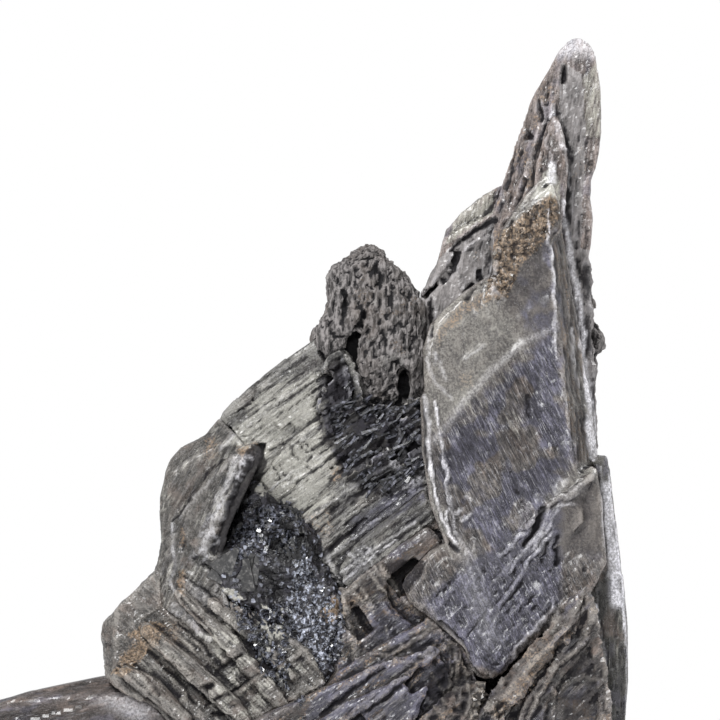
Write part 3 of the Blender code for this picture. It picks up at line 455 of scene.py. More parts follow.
# For each mask, rows of an outline, the softness of its edge in pixels, and how strong the mask is inside it.
TINTS = {
    "frost_and_highlight": [
        # Frosting with painted rim light: the prism's rim here, and the blade's outer rim two rows down.
        ([(600, 482), (606, 482), (612, 520), (617, 560), (621, 606), (610, 604), (606, 560),
          (601, 520)], 4, 1.0),
        ([(456, 552), (470, 548), (482, 590), (500, 640), (486, 648), (470, 610)], 8, 0.16),
        ([(560, 200), (564, 200), (573, 250), (581, 300), (586, 350), (592, 400), (595, 455),
          (588, 458), (584, 400), (579, 350), (575, 300), (567, 250)], 1.5, 0.75),
    ],
    "pale": [
        ([(549, 164), (556, 166), (560, 202), (546, 198), (526, 200), (538, 186)], 1.5, 0.75),
        ([(306, 512), (326, 504), (332, 520), (316, 530)], 4, 0.5),
        # On the fan: painted light, shining through the crystal from behind.
        ([(284, 470), (306, 456), (322, 466), (328, 492), (306, 512), (292, 500)], 5, 1.0),
        ([(244, 486), (262, 462), (300, 442), (320, 452), (286, 476), (262, 498)], 5, 0.8),
        ([(222, 445), (262, 412), (300, 392), (330, 400), (318, 424), (262, 452)], 6, 0.7),
        ([(262, 604), (284, 604), (284, 640), (264, 644)], 4, 0.7),
        ([(221, 583), (236, 588), (246, 600), (232, 602)], 3, 0.7),
        ([(200, 632), (216, 626), (230, 652), (222, 660)], 4, 0.6),
        # Painted light along the blade's diagonal, to lighten the shade below its step.
        ([(530, 340), (505, 372), (470, 408), (440, 436), (446, 446), (480, 414), (512, 382),
          (536, 350)], 4, 0.25),
        ([(504, 412), (520, 412), (520, 440), (506, 436)], 5, 0.35),
    ],
    "dark": [
        # Dark coats: dark inclusions, and painted shade in the hollows, cracks and gaps between the crystals.
        ([(563, 84), (580, 84), (582, 180), (578, 256), (570, 240), (566, 180)], 3, 0.3),
        ([(345, 400), (362, 396), (398, 400), (412, 420), (410, 470), (384, 486), (350, 470),
          (336, 440)], 8, 0.92),
        ([(578, 250), (600, 256), (602, 380), (590, 396), (582, 380)], 4, 0.45),
        ([(250, 446), (264, 446), (266, 466), (250, 498), (238, 540), (218, 552), (219, 526),
          (228, 500)], 2, 1.0),
        ([(300, 520), (312, 532), (322, 550), (330, 560), (320, 564), (302, 545)], 4, 0.8),
        ([(342, 552), (366, 542), (388, 556), (392, 596), (370, 604), (348, 600)], 5, 0.4),
        ([(262, 516), (280, 512), (297, 520), (302, 545), (290, 562), (266, 556)], 6, 0.9),
        ([(324, 350), (350, 338), (358, 372), (368, 396), (396, 398), (412, 408), (428, 404),
          (428, 430), (340, 430), (322, 400)], 8, 0.75),
        ([(322, 400), (350, 404), (362, 396), (398, 400), (424, 380), (428, 470), (400, 484),
          (360, 498), (345, 470), (330, 440)], 10, 0.7),
        ([(408, 430), (424, 420), (430, 470), (414, 476)], 4, 0.7),
        ([(384, 562), (402, 556), (430, 558), (420, 576), (406, 594), (396, 588)], 3, 0.8),
        ([(386, 556), (425, 526), (442, 532), (470, 556), (448, 562), (420, 556)], 4, 0.35),
        ([(396, 540), (418, 532), (424, 552), (400, 560)], 3, 0.5),
        ([(440, 655), (474, 668), (500, 682), (486, 700), (452, 690)], 6, 0.55),
        ([(424, 640), (440, 636), (444, 656), (430, 660)], 3, 0.5),
        ([(426, 672), (440, 660), (455, 662), (457, 690), (440, 702), (426, 694)], 4, 0.9),
        ([(556, 664), (574, 650), (588, 646), (594, 672), (566, 680)], 5, 0.6),
        ([(556, 690), (592, 686), (600, 716), (560, 718)], 5, 0.6),
        ([(478, 664), (492, 658), (508, 662), (494, 676)], 5, 0.6),
        ([(548, 500), (566, 506), (568, 560), (552, 566)], 6, 0.35),
        ([(204, 470), (222, 462), (214, 480), (196, 496)], 8, 0.4),
        ([(240, 610), (262, 616), (262, 660), (240, 650)], 6, 0.7),
        ([(262, 560), (286, 560), (284, 602), (262, 600)], 5, 0.7),
        ([(496, 372), (522, 372), (524, 412), (504, 410)], 5, 0.45),
        ([(474, 440), (492, 438), (492, 460), (476, 462)], 4, 0.5),
        ([(480, 402), (500, 402), (500, 412), (482, 412)], 3, 0.45),
        ([(505, 460), (520, 455), (525, 490), (508, 500)], 5, 0.4),
        ([(540, 380), (556, 380), (560, 440), (545, 440)], 6, 0.3),
        ([(330, 664), (380, 656), (430, 640), (440, 719), (320, 719)], 10, 0.35),
    ],
    "violet": [
        ([(404, 480), (424, 474), (424, 500), (396, 510), (370, 520), (380, 498)], 5, 0.7),
        ([(420, 600), (470, 560), (560, 500), (560, 600), (516, 642), (500, 670), (474, 664),
          (440, 620)], 10, 0.9),
        ([(366, 600), (386, 600), (420, 614), (430, 624), (396, 640), (372, 636)], 4, 0.8),
        ([(336, 656), (372, 660), (400, 650), (440, 626), (460, 650), (440, 700), (400, 719),
          (300, 719)], 8, 0.75),
        ([(390, 610), (430, 616), (400, 645), (380, 640)], 6, 0.8),
        ([(344, 524), (420, 472), (428, 500), (350, 545)], 6, 0.6),
        ([(340, 370), (352, 366), (356, 398), (344, 402)], 4, 0.8),
    ],
    "clay": [
        ([(576, 246), (598, 254), (600, 380), (592, 404), (582, 400), (574, 300)], 3, 1.0),
    ],
    "rust": [
        ([(304, 512), (330, 505), (338, 530), (322, 548), (308, 530)], 5, 0.4),
        ([(112, 672), (122, 656), (138, 640), (128, 634), (150, 620), (168, 624), (160, 640),
          (140, 662), (124, 676)], 6, 1.0),
        ([(160, 620), (178, 618), (182, 640), (170, 646)], 6, 0.5),
        ([(330, 470), (340, 462), (346, 474), (332, 486)], 4, 0.6),
        ([(204, 438), (218, 434), (222, 456), (204, 462)], 5, 0.5),
        ([(236, 446), (256, 442), (262, 456), (244, 462)], 4, 0.8),
        ([(180, 566), (188, 570), (186, 596), (178, 592)], 3, 0.7),
        ([(181, 526), (188, 528), (186, 548), (180, 548)], 3, 0.6),
        ([(330, 596), (346, 598), (346, 626), (334, 622)], 4, 0.8),
        ([(540, 202), (556, 196), (557, 210), (536, 236), (528, 252), (506, 272), (496, 270),
          (492, 250), (502, 230)], 4, 0.9),
        ([(436, 352), (434, 330), (462, 300), (492, 286), (500, 298), (470, 314), (446, 336)], 6, 0.55),
        ([(456, 372), (474, 368), (476, 388), (460, 392)], 5, 0.4),
    ],
}

# Outlines with their softness in pixels: seams where no painted shade is added.
NO_PAINTED_SHADE = [
    ([(500, 664), (520, 640), (556, 600), (576, 600), (560, 640), (520, 690), (500, 690)], 4),
    ([(518, 330), (550, 340), (505, 400), (445, 455), (425, 440), (480, 378)], 5),
    ([(396, 566), (420, 560), (440, 610), (446, 628), (430, 632), (404, 604)], 4),
]


def mark(skin):
    """The traced ridges, grooves and tints where the skin shows in the front view: a height and its masks."""
    rest, soft = skin.rest, 0.3
    still = np.zeros(len(rest))
    sway = np.stack([waves(rest, 2.0, 201), still, waves(rest, 2.0, 202)], axis=1)
    ragged = rest + sway * 1.4
    broken = 0.35 + 0.65 * ease(0.36, 0.58, fractal(rest, 1.8, 203))
    height = np.zeros(len(rest))
    masks = {name: np.zeros(len(rest)) for name in MASKS}
    # A ridge is raised, frosted and given a painted highlight.
    for path, width, rise, frost_and_highlight in RIDGES:
        line = broken * stroke(ragged, path, np.multiply(width, PIXEL), soft)
        height += rise * line
        masks["frost_and_highlight"] = np.maximum(masks["frost_and_highlight"], 0.72 * frost_and_highlight * line)
    # A groove is carved and darkened with painted shade.
    for path, width, depth, darkness in GROOVES:
        line = (0.4 + 0.6 * broken) * stroke(ragged, path, np.multiply(width, PIXEL), soft)
        height -= depth * line
        masks["dark"] = np.maximum(masks["dark"], darkness * line)
        masks["frost_and_highlight"] *= 1 - line
    for name, rows in TINTS.items():
        for outline, edge, strength in rows:
            masks[name] = np.maximum(masks[name], strength * patch(ragged, outline, edge * PIXEL))
    return height * skin.front, {name: values * skin.front for name, values in masks.items()}


# ---------------------------------------------------------------- skins


class Skin:
    """A fine copy of a CAD node's surface, held as arrays in millimetres."""

    def __init__(self, node, voxel, smooth=False):
        self.node = node
        self.object = bpy.data.objects.new(node + "_skin", frame["nodes"][node].data.copy())
        bpy.context.scene.collection.objects.link(self.object)
        self.object.data.materials.clear()
        self.remesh(voxel)
        mesh = self.object.data
        mesh.polygons.foreach_set("use_smooth", np.full(len(mesh.polygons), smooth))
        self.points = self.read("co") / MM
        self.rest = self.points.copy()
        edges = np.empty(len(mesh.edges) * 2, dtype=np.int32)
        mesh.edges.foreach_get("vertices", edges)
        self.edges = edges.reshape(-1, 2)
        self.degree = np.bincount(self.edges.ravel(), minlength=len(self.points))
        self.normals = self.read("normal")
        self.front = ease(0.05, 0.55, -self.normals[:, 1])
        self.marked_height, self.marks = mark(self)

    def remesh(self, voxel):
        """Even small faces on a surface a seam's width outside the solid."""
        proud = self.object.modifiers.new("Proud", "DISPLACE")
        proud.strength = SEAM * MM
        proud.mid_level = 0
        remesh = self.object.modifiers.new("Remesh", "REMESH")
        remesh.mode = "VOXEL"
        remesh.voxel_size = voxel * COARSER * MM
        graph = bpy.context.evaluated_depsgraph_get()
        mesh = bpy.data.meshes.new_from_object(self.object.evaluated_get(graph))
        mesh.name = self.object.name
        self.object.modifiers.clear()
        self.object.data = mesh

    def read(self, field):
        """A vector of every vertex, as an array."""
        values = np.empty(len(self.object.data.vertices) * 3, dtype=np.float32)
        self.object.data.vertices.foreach_get(field, values)
        return values.reshape(-1, 3).astype(float)

    def average(self, values):
        """Each vertex's value replaced by the mean over the vertices linked to it."""
        if values.ndim == 2:
            return np.stack([self.average(column) for column in values.T], axis=1)
        a, b = self.edges.T
        count = len(self.points)
        total = np.bincount(a, values[b], minlength=count) + np.bincount(b, values[a], minlength=count)
        return total / np.maximum(self.degree, 1)

    def soften(self, values, rounds):
        """Each vertex's value drawn towards its neighbours', a number of times."""
        for _ in range(rounds):
            values = 0.5 * values + 0.5 * self.average(values)
        return values

    def push(self, height):
        """Moves the surface out along its normals by a height and by the traced marks."""
        moved = height + self.marked_height
        self.points = self.points + self.normals * moved[:, None]
        self.points[:, 1] = np.maximum(self.points[:, 1], FOREMOST)
        self.object.data.vertices.foreach_set("co", (self.points * MM).astype(np.float32).ravel())
        self.object.data.update()
        self.normals = self.read("normal")

    def iron(self, weight, rounds):
        """Flattens steps and rims where the weight is above 0."""
        for _ in range(rounds):
            self.points += 0.8 * weight[:, None] * (self.average(self.points) - self.points)
        self.rest = self.points.copy()

    def curvature(self, rounds):
        """Positive on an edge or bump and negative in a groove, in mm, at the scale of that many faces."""
        smoothed = self.points
        for _ in range(rounds):
            smoothed = self.average(smoothed)
        return np.einsum("ij,ij->i", self.points - smoothed, self.normals)

    def store(self, name, values):
        """Keeps a number between 0 and 1 for every vertex, where the material reads it."""
        attribute = self.object.data.attributes.new(name, "FLOAT", "POINT")
        attribute.data.foreach_set("value", np.clip(values, 0, 1).astype(np.float32))


def dress(skin, coat, material, frost_and_highlight=1.0, groove_shade=1.0, edge_curvature=0.045):
    """Stores the coat's masks, adds worn, frosted edges with painted highlights and painted shade in grooves,
    and hangs the skin on its node.
    """
    fine, wide = skin.curvature(2), skin.curvature(14)
    chips = fractal(skin.rest, 2.4, 41)
    # Edges get frosting and painted highlights; grooves and hollows get painted shade, less of it on the listed
    # seams.
    edge_frost_and_highlight = 0.36 * ease(edge_curvature, edge_curvature * 4.0, fine) * ease(0.40, 0.62, chips)
    painted_groove_shade = ease(0.02, 0.13, -fine) * 0.8 + ease(0.12, 0.60, -wide) * 0.85
    for outline, soft in NO_PAINTED_SHADE:
        groove_shade = groove_shade * (1 - 0.9 * patch(skin.rest, outline, soft * PIXEL))
    none = np.zeros(len(skin.points))
    coat.setdefault("silk", none + 0.5)
    masks = {name: np.maximum(coat.get(name, none), skin.marks[name]) for name in MASKS}
    masks["dark"] = np.maximum(masks["dark"], np.minimum(painted_groove_shade, 1) * groove_shade)
    masks["frost_and_highlight"] = np.maximum(masks["frost_and_highlight"], edge_frost_and_highlight * frost_and_highlight * (1 - 0.95 * masks["dark"]))
    # The level makes the crystal's tone lighter on bumps and darker in hollows: painted light and shade.
    masks["level"] = 0.5 + np.clip(skin.soften(wide, 2), -0.5, 0.3) * 0.9  # high on bumps and low in hollows
    for name, values in masks.items():
        skin.store(name, values)
    skin.object.data.materials.append(material)
    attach(skin.object, "root")
    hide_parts(skin.node)


BOX = np.array([(x, y, z) for x in (-0.5, 0.5) for y in (-0.5, 0.5) for z in (-0.5, 0.5)])
BOX_FACES = ((0, 1, 3, 2), (4, 6, 7, 5), (0, 4, 5, 1), (2, 3, 7, 6), (0, 2, 6, 4), (1, 5, 7, 3))


def sprinkle(skin, material, outline, count, size, seed, tilt=80, degrees=GROWTH, sunk=0.1):
    """Joins small slanted crystals to the skin, inside an outline of the front view.

    size is their (length, depth, width). Each lies along the direction given, up to tilt degrees off it, with
    its middle sunk below the surface.
    """
    random = np.random.default_rng(seed)
    inside = np.flatnonzero((patch(skin.rest, outline, 0.3) > 0.5) & (skin.front > 0.4))
    chosen = random.choice(inside, count)
    materials = skin.object.data.materials
    if material.name not in materials:
        materials.append(material)
    slot = materials.find(material.name)
    bm = bmesh.new()
    bm.from_mesh(skin.object.data)
    for centre, normal in zip(skin.points[chosen], skin.normals[chosen]):
        lean, roll, turn = np.radians(random.uniform(-tilt, tilt, 3))
        rotation = Euler((lean, -math.radians(degrees) + turn, roll)).to_matrix()
        shape = BOX * np.array(size) * random.uniform(0.5, 1.3, 3)
        shape[:, 2] *= 1 - 0.5 * (shape[:, 0] > 0)
        shape = shape @ np.array(rotation).T + centre - normal * sunk
        corners = [bm.verts.new(point * MM) for point in shape]
        for face in BOX_FACES:
            bm.faces.new([corners[index] for index in face]).material_index = slot
    bmesh.ops.recalc_face_normals(bm, faces=bm.faces[-count * len(BOX_FACES):])
    bm.to_mesh(skin.object.data)
    bm.free()


# ---------------------------------------------------------------- materials


class Graph:
    """Short names for the nodes of one material, with places in millimetres."""

    def __init__(self, name):
        self.material = bpy.data.materials.new(name)
        self.material.use_nodes = True
        self.nodes = self.material.node_tree.nodes
        self.links = self.material.node_tree.links
        self.shader = self.nodes["Principled BSDF"]
        coordinates = self.nodes.new("ShaderNodeTexCoord")
        self.place = self.vector(coordinates.outputs["Object"], (1 / MM, 1 / MM, 1 / MM))

    def connect(self, value, socket):
        """Links what another node gives, or sets a number or a colour."""
        if isinstance(value, bpy.types.NodeSocket):
            self.links.new(value, socket)
        elif isinstance(value, tuple):
            socket.default_value = (*value, 1)
        else:
            socket.default_value = value

    def give(self, name, value):
        """Links or sets one of the shader's sockets."""
        self.connect(value, self.shader.inputs[name])

    def vector(self, place, factors, offset=(0, 0, 0)):
        """A place times the factors, moved by the offset."""
        node = self.nodes.new("ShaderNodeVectorMath")
        node.operation = "MULTIPLY_ADD"
        self.links.new(place, node.inputs[0])
        node.inputs[1].default_value = factors
        node.inputs[2].default_value = offset
        return node.outputs["Vector"]

    def math(self, operation, a, b, clamp=False):
        node = self.nodes.new("ShaderNodeMath")
        node.operation = operation
        node.use_clamp = clamp
        self.connect(a, node.inputs[0])
        self.connect(b, node.inputs[1])
        return node.outputs["Value"]

    def plus(self, first, *others):
        for other in others:
            first = self.math("ADD", first, other)
        return first

    def minus(self, a, b):
        return self.math("SUBTRACT", a, b)

    def times(self, first, *others):
        for other in others:
            first = self.math("MULTIPLY", first, other)
        return first

    def most(self, first, *others):
        for other in others:
            first = self.math("MAXIMUM", first, other)
        return first

    def attribute(self, name):
        node = self.nodes.new("ShaderNodeAttribute")
        node.attribute_name = name
        return node.outputs["Fac"]

    def noise(self, size, degrees=0.0, stretch=1.0, detail=3.0, shift=0.0, roughness=0.55):
        """Noise of that grain in mm, drawn out along a direction in the front view."""
        turn = self.nodes.new("ShaderNodeVectorRotate")
        turn.rotation_type = "Y_AXIS"
        turn.inputs["Angle"].default_value = math.radians(degrees)
        self.links.new(self.place, turn.inputs["Vector"])
        factors = (1 / (size * stretch), 1 / size, 1 / size)
        place = self.vector(turn.outputs["Vector"], factors, (shift, shift * 0.7, shift * 1.3))
        node = self.nodes.new("ShaderNodeTexNoise")
        node.inputs["Scale"].default_value = 1.0
        node.inputs["Detail"].default_value = detail
        node.inputs["Roughness"].default_value = roughness
        self.links.new(place, node.inputs["Vector"])
        return node.outputs["Fac"]

    def ramp(self, value, low, high, start=0.0, end=1.0):
        """Goes smoothly from start, where the value is low, to end, where it is high."""
        node = self.nodes.new("ShaderNodeMapRange")
        node.interpolation_type = "SMOOTHSTEP"
        self.links.new(value, node.inputs["Value"])
        for socket, number in (("From Min", low), ("From Max", high), ("To Min", start), ("To Max", end)):
            node.inputs[socket].default_value = number
        return node.outputs["Result"]

    def mix(self, factor, a, b):
        """Colour a where the factor is 0 and b where it is 1."""
        node = self.nodes.new("ShaderNodeMix")
        node.data_type = "RGBA"
        self.connect(factor, node.inputs[0])
        self.connect(a, node.inputs[6])
        self.connect(b, node.inputs[7])
        return node.outputs[2]

    def blend(self, factor, a, b):
        """The number a where the factor is 0 and b where it is 1."""
        node = self.nodes.new("ShaderNodeMix")
        node.data_type = "FLOAT"
        self.connect(factor, node.inputs[0])
        self.connect(a, node.inputs[2])
        self.connect(b, node.inputs[3])
        return node.outputs[0]

    def ragged(self, name, grain, spread=0.5, low=0.35, high=0.65):
        """A painted mask whose edge is broken up by a noise."""
        mask = self.attribute(name)
        shifted = self.plus(mask, self.times(self.minus(grain, 0.5), spread * 2.5))
        return self.times(self.ramp(shifted, low, high), self.ramp(mask, 0.0, 0.15))

    def stops(self, value, *stops):
        """A colour for each value, as (position, colour)."""
        node = self.nodes.new("ShaderNodeValToRGB")
        node.color_ramp.interpolation = "EASE"
        elements = node.color_ramp.elements
        while len(elements) < len(stops):
            elements.new(0.5)
        for element, (position, colour) in zip(elements, stops):
            element.position = position
            element.color = (*colour, 1)
        self.links.new(value, node.inputs["Fac"])
        return node.outputs["Color"]

    def shades(self, value, colour, *stops):
        """Darker and lighter shades of one colour for each value, as (position, factor)."""
        return self.stops(value, *((position, shade(colour, factor)) for position, factor in stops))

    def bump(self, height, distance):
        node = self.nodes.new("ShaderNodeBump")
        node.inputs["Distance"].default_value = distance * MM
        self.links.new(height, node.inputs["Height"])
        self.give("Normal", node.outputs["Normal"])

    def absorb(self, colour, density):
        """Light that passes through takes on this colour."""
        node = self.nodes.new("ShaderNodeVolumeAbsorption")
        self.connect(colour, node.inputs["Color"])
        self.connect(density, node.inputs["Density"])
        self.links.new(node.outputs["Volume"], self.nodes["Material Output"].inputs["Volume"])


# Linear colours, as read.
PALE = (0.52, 0.505, 0.455)
DARK = (0.012, 0.011, 0.013)
RUST = (0.160, 0.113, 0.074)
CLAY = (0.118, 0.110, 0.108)
VIOLET = (0.058, 0.056, 0.075)
# The next white and the sandy colour below are used for frosting and for painted highlights.
FROST_AND_HIGHLIGHT_WHITE = (0.80, 0.79, 0.83)
BROWN = (0.098, 0.074, 0.062)
SAND = (0.56, 0.52, 0.47)
GYPSUM_IOR = 1.52


def shade(colour, factor):
    return tuple(factor * channel for channel in colour)


class Gypsum(Graph):
    """Smoky gypsum: mottled and streaked along its grain, with coats painted by the skin's masks."""

    def __init__(self, name, grain_angle, streak_size):
        super().__init__(name)
        self.angle = grain_angle
        self.mottle = self.noise(1.5, grain_angle, 1.8, detail=5, shift=1.7, roughness=0.65)
        self.streak = self.noise(streak_size, grain_angle, 8.0, detail=4, shift=3.1)
        self.grit = self.noise(0.45, detail=4, shift=5.7, roughness=0.75)
        self.silk = self.attribute("silk")
        self.lines = self.times(self.minus(self.streak, 0.5), self.silk, 1.2)
        cloud = self.noise(5.0, grain_angle, 1.6, detail=5, roughness=0.6)
        # The tone is lighter on bumps and darker in hollows: painted light and shade.
        height = self.times(self.minus(self.attribute("level"), 0.5), 0.30)
        clouds = self.plus(self.times(cloud, 0.40), self.times(self.mottle, 0.45))
        details = self.plus(self.lines, 0.30, self.times(self.grit, 0.55))
        self.tone = self.plus(self.times(self.plus(clouds, details), 0.5), height)

    def body(self, light, deep, spots, hues):
        """The crystal's own colour: dark spots, and parts of it browner and more violet."""
        colour = self.stops(
            self.tone, (0.38, shade(deep, 0.35)), (0.47, deep), (0.53, light), (0.62, shade(light, 2.0))
        )
        colour = self.mix(self.ramp(self.mottle, 0.40, 0.32, 0.0, spots), colour, shade(deep, 0.3))
        brown = self.shades(self.tone, BROWN, (0.40, 0.4), (0.50, 1), (0.60, 2.2))
        violet = self.shades(self.tone, VIOLET, (0.40, 0.45), (0.50, 1), (0.60, 2.6))
        hue = self.noise(3.4, self.angle, 2.2, detail=4, shift=12.3)
        varied = self.ramp(self.silk, 0.1, 0.5)
        colour = self.mix(self.times(varied, self.ramp(hue, 0.52, 0.64, 0.0, hues[0])), colour, brown)
        colour = self.mix(self.times(varied, self.ramp(hue, 0.48, 0.36, 0.0, hues[1])), colour, violet)
        return self.mix(self.ragged("violet", self.mottle, 0.5, 0.2, 0.8), colour, violet)

    def milk_and_painted_light(self, colour, pale):
        """Pale patches, broken into streaks where the growth lines show; in places the pale is painted light.
        """
        milky_and_lit_shades = self.shades(self.tone, pale, (0.38, 0.35), (0.48, 0.75), (0.58, 1), (0.68, 1.35))
        calm = self.blend(0.4, 0.5, self.grit)
        veined = self.blend(self.ramp(self.silk, 0.0, 0.5), calm, self.streak)
        return self.mix(self.ragged("pale", veined, 0.6, 0.2, 0.8), colour, milky_and_lit_shades)

    def cover(self, colour, frost_and_highlight):
        """Clay, rust, the dark coat and frosting over the colour, where the dark is partly painted shade and
        the frosting carries painted highlights, glints and sheen: what it becomes, the dark mask, and all of
        it.
        """
        clay_mask = self.ragged("clay", self.grit, 0.4)
        clay = self.shades(self.tone, CLAY, (0.40, 0.55), (0.50, 1.5), (0.60, 2.6))
        colour = self.mix(clay_mask, colour, clay)
        rust_mask = self.ragged("rust", self.grit, 0.7, 0.30, 0.80)
        rust = self.shades(self.grit, RUST, (0.38, 0.25), (0.50, 0.9), (0.62, 2.2))
        colour = self.mix(self.times(rust_mask, 0.85), colour, rust)
        dark_mask = self.ragged("dark", self.grit, 0.5, 0.25, 0.85)
        colour = self.mix(self.times(dark_mask, 0.92), colour, DARK)
        # Frosting and painted highlights, broken up by the grit, together with the painted glints and sheen.
        grit_breakup = self.ramp(self.grit, 0.42, 0.60, 0.4)
        broken_frost_and_highlight = self.math("MULTIPLY", self.attribute("frost_and_highlight"), grit_breakup, clamp=True)
        frost_glint_and_sheen_mask = self.most(broken_frost_and_highlight, self.painted_glints_and_sheen(dark_mask))
        colour = self.mix(frost_glint_and_sheen_mask, colour, frost_and_highlight)
        return colour, dark_mask, self.most(clay_mask, rust_mask, dark_mask, frost_glint_and_sheen_mask)

    def painted_glints_and_sheen(self, dark_mask):
        """Painted glints on grains, and fine bright lines of painted sheen where the growth lines show; none
        where it is dark.
        """
        glint = self.times(self.ramp(self.noise(0.30, detail=2, shift=9.1), 0.68, 0.78), 0.12)
        sheen_noise = self.noise(0.2, self.angle, 20.0, detail=2, shift=15.7)
        lines = self.times(self.ramp(sheen_noise, 0.57, 0.70, 0.0, 0.30), self.silk)
        return self.times(self.most(glint, lines), self.minus(1.0, dark_mask))

    def surface(self, dark_mask, cover, clearness):
        """See-through and glossy where nothing covers it, and dull where it is dark."""
        clear = self.times(self.minus(1.0, cover), self.attribute("clear"), clearness)
        self.give("Transmission Weight", clear)
        uneven = self.plus(self.times(self.grit, 0.5), self.times(self.mottle, 0.5))
        rough = self.blend(cover, self.ramp(uneven, 0.4, 0.6, 0.10, 0.42), 0.62)
        self.give("Roughness", self.blend(dark_mask, rough, 0.85))
        self.give("Coat Weight", self.times(self.minus(1.0, dark_mask), 0.45))
        self.give("Coat Roughness", 0.20)
        self.give("IOR", GYPSUM_IOR)
        self.give("Specular IOR Level", 0.15)
        self.bump(self.plus(self.lines, self.times(self.grit, 0.8), self.mottle), 0.30)


def crystal(name, light, deep, grain_angle, clearness, pale=PALE, absorb=(0.55, 0.53, 0.50), density=40.0,
            streak_size=0.5, spots=0.75, frost_and_highlight=FROST_AND_HIGHLIGHT_WHITE, hues=(0.55, 0.50)):
    """The material of one crystal. hues says how brown and how violet its parts are."""
    g = Gypsum(name, grain_angle, streak_size)
    colour, dark_mask, cover = g.cover(g.milk_and_painted_light(g.body(light, deep, spots, hues), pale), frost_and_highlight)
    g.give("Base Color", colour)
    g.surface(dark_mask, cover, clearness)
    g.absorb(absorb, density)
    return g.material


def clay_material():
    """Dull grey-brown clay with a vertical grain, dark pits and a few glittering faces."""
    g = Graph("clay")
    grain = g.noise(0.60, 90, 3.0, detail=4)
    speck = g.noise(0.35, detail=4, shift=2.0, roughness=0.7)
    cloud = g.noise(9.0, detail=3, shift=4.0)
    colour = g.mix(g.ramp(grain, 0.38, 0.62), shade(CLAY, 0.48), shade(CLAY, 2.1))
    colour = g.mix(g.ramp(cloud, 0.45, 0.75, 0.0, 0.5), colour, (0.115, 0.092, 0.075))
    colour = g.mix(g.ramp(speck, 0.58, 0.74, 0.0, 0.6), colour, shade(CLAY, 0.3))
    colour = g.mix(g.ragged("pale", speck, 0.6), colour, (0.26, 0.25, 0.24))
    colour = g.mix(g.ragged("rust", speck, 0.8), colour, shade(RUST, 0.7))
    colour = g.mix(g.ragged("dark", speck, 0.5, 0.3, 0.8), colour, shade(DARK, 0.6))
    colour = g.mix(g.times(g.ragged("frost_and_highlight", speck, 0.9), 0.45), colour, (0.30, 0.29, 0.29))
    g.give("Base Color", colour)
    g.give("Roughness", 0.86)
    g.give("Specular IOR Level", 0.35)
    g.bump(g.plus(grain, g.times(speck, 0.6)), 0.40)
    return g.material


def druse_material():
    """Dark glittering crust: near black with violet and silver-blue faces."""
    g = Graph("druse")
    cell = g.nodes.new("ShaderNodeTexVoronoi")
    cell.inputs["Scale"].default_value = 1 / 0.7
    g.links.new(g.place, cell.inputs["Vector"])
    split = g.nodes.new("ShaderNodeSeparateColor")
    g.links.new(cell.outputs["Color"], split.inputs["Color"])
    speck = g.noise(0.4, detail=3, roughness=0.7)
    colour = g.mix(g.ramp(split.outputs["Red"], 0.35, 0.95), DARK, (0.040, 0.038, 0.048))
    colour = g.mix(g.ragged("pale", speck, 0.6), colour, shade(PALE, 0.8))
    colour = g.mix(g.ragged("rust", speck, 0.8), colour, RUST)
    # Silver-blue faces on a few cells: painted glints.
    colour = g.mix(g.ramp(split.outputs["Green"], 0.82, 0.97, 0.0, 0.7), colour, (0.42, 0.44, 0.52))
    colour = g.mix(g.ragged("dark", speck, 0.5, 0.3, 0.8), colour, shade(DARK, 0.5))
    g.give("Base Color", colour)
    g.give("Roughness", g.ramp(split.outputs["Blue"], 0.2, 0.8, 0.132, 0.484))
    g.bump(g.plus(speck, cell.outputs["Distance"]), 0.15)
    return g.material


def grain_material(name, dark, light, roughness, coat):
    """Small separate crystals: each part of them its own shade."""
    g = Graph(name)
    tone = g.noise(0.9, detail=4, roughness=0.7)
    g.give("Base Color", g.stops(tone, (0.46, dark), (0.55, shade(light, 0.35)), (0.64, light)))
    g.give("Roughness", roughness)
    g.give("Coat Weight", coat)
    g.bump(g.noise(0.4, detail=3, shift=3.0), 0.08)
    return g.material


def floor_material():
    g = Graph("floor")
    g.give("Base Color", g.mix(g.noise(14.0, detail=2), (0.90, 0.90, 0.90), (0.93, 0.93, 0.93)))
    g.give("Roughness", 0.6)
    return g.material


# ---------------------------------------------------------------- the crystals


TINY = (1.3, 0.8, 0.6)  # the usual size of the tiny crystals in the crevices
# The bluish light shade of these dark crystals is a painted highlight.
dark_crystals = grain_material("dark_crystals", (0.003, 0.003, 0.004), (0.20, 0.21, 0.26), 0.20, 0.6)


def plain_coat(skin, seed, dark=0.35, rust=0.2, pale=0.3):
    """Scattered inclusions, stains and paler patches for a crystal that no stroke describes."""
    p = skin.rest
    return {
        "dark": dark * ease(0.52, 0.68, fractal(p, (6.0, 6.0, 8.0), seed)),
        "rust": rust * ease(0.55, 0.70, fractal(p, 3.0, seed + 1)),
        "pale": pale * ease(0.50, 0.66, fractal(p, 7.0, seed + 2)),
        "clear": np.ones(len(p)),
    }


def deepest(coat, name, values):
    """Raises one mask of a coat to at least these values."""
    coat[name] = np.maximum(coat.get(name, 0), values)


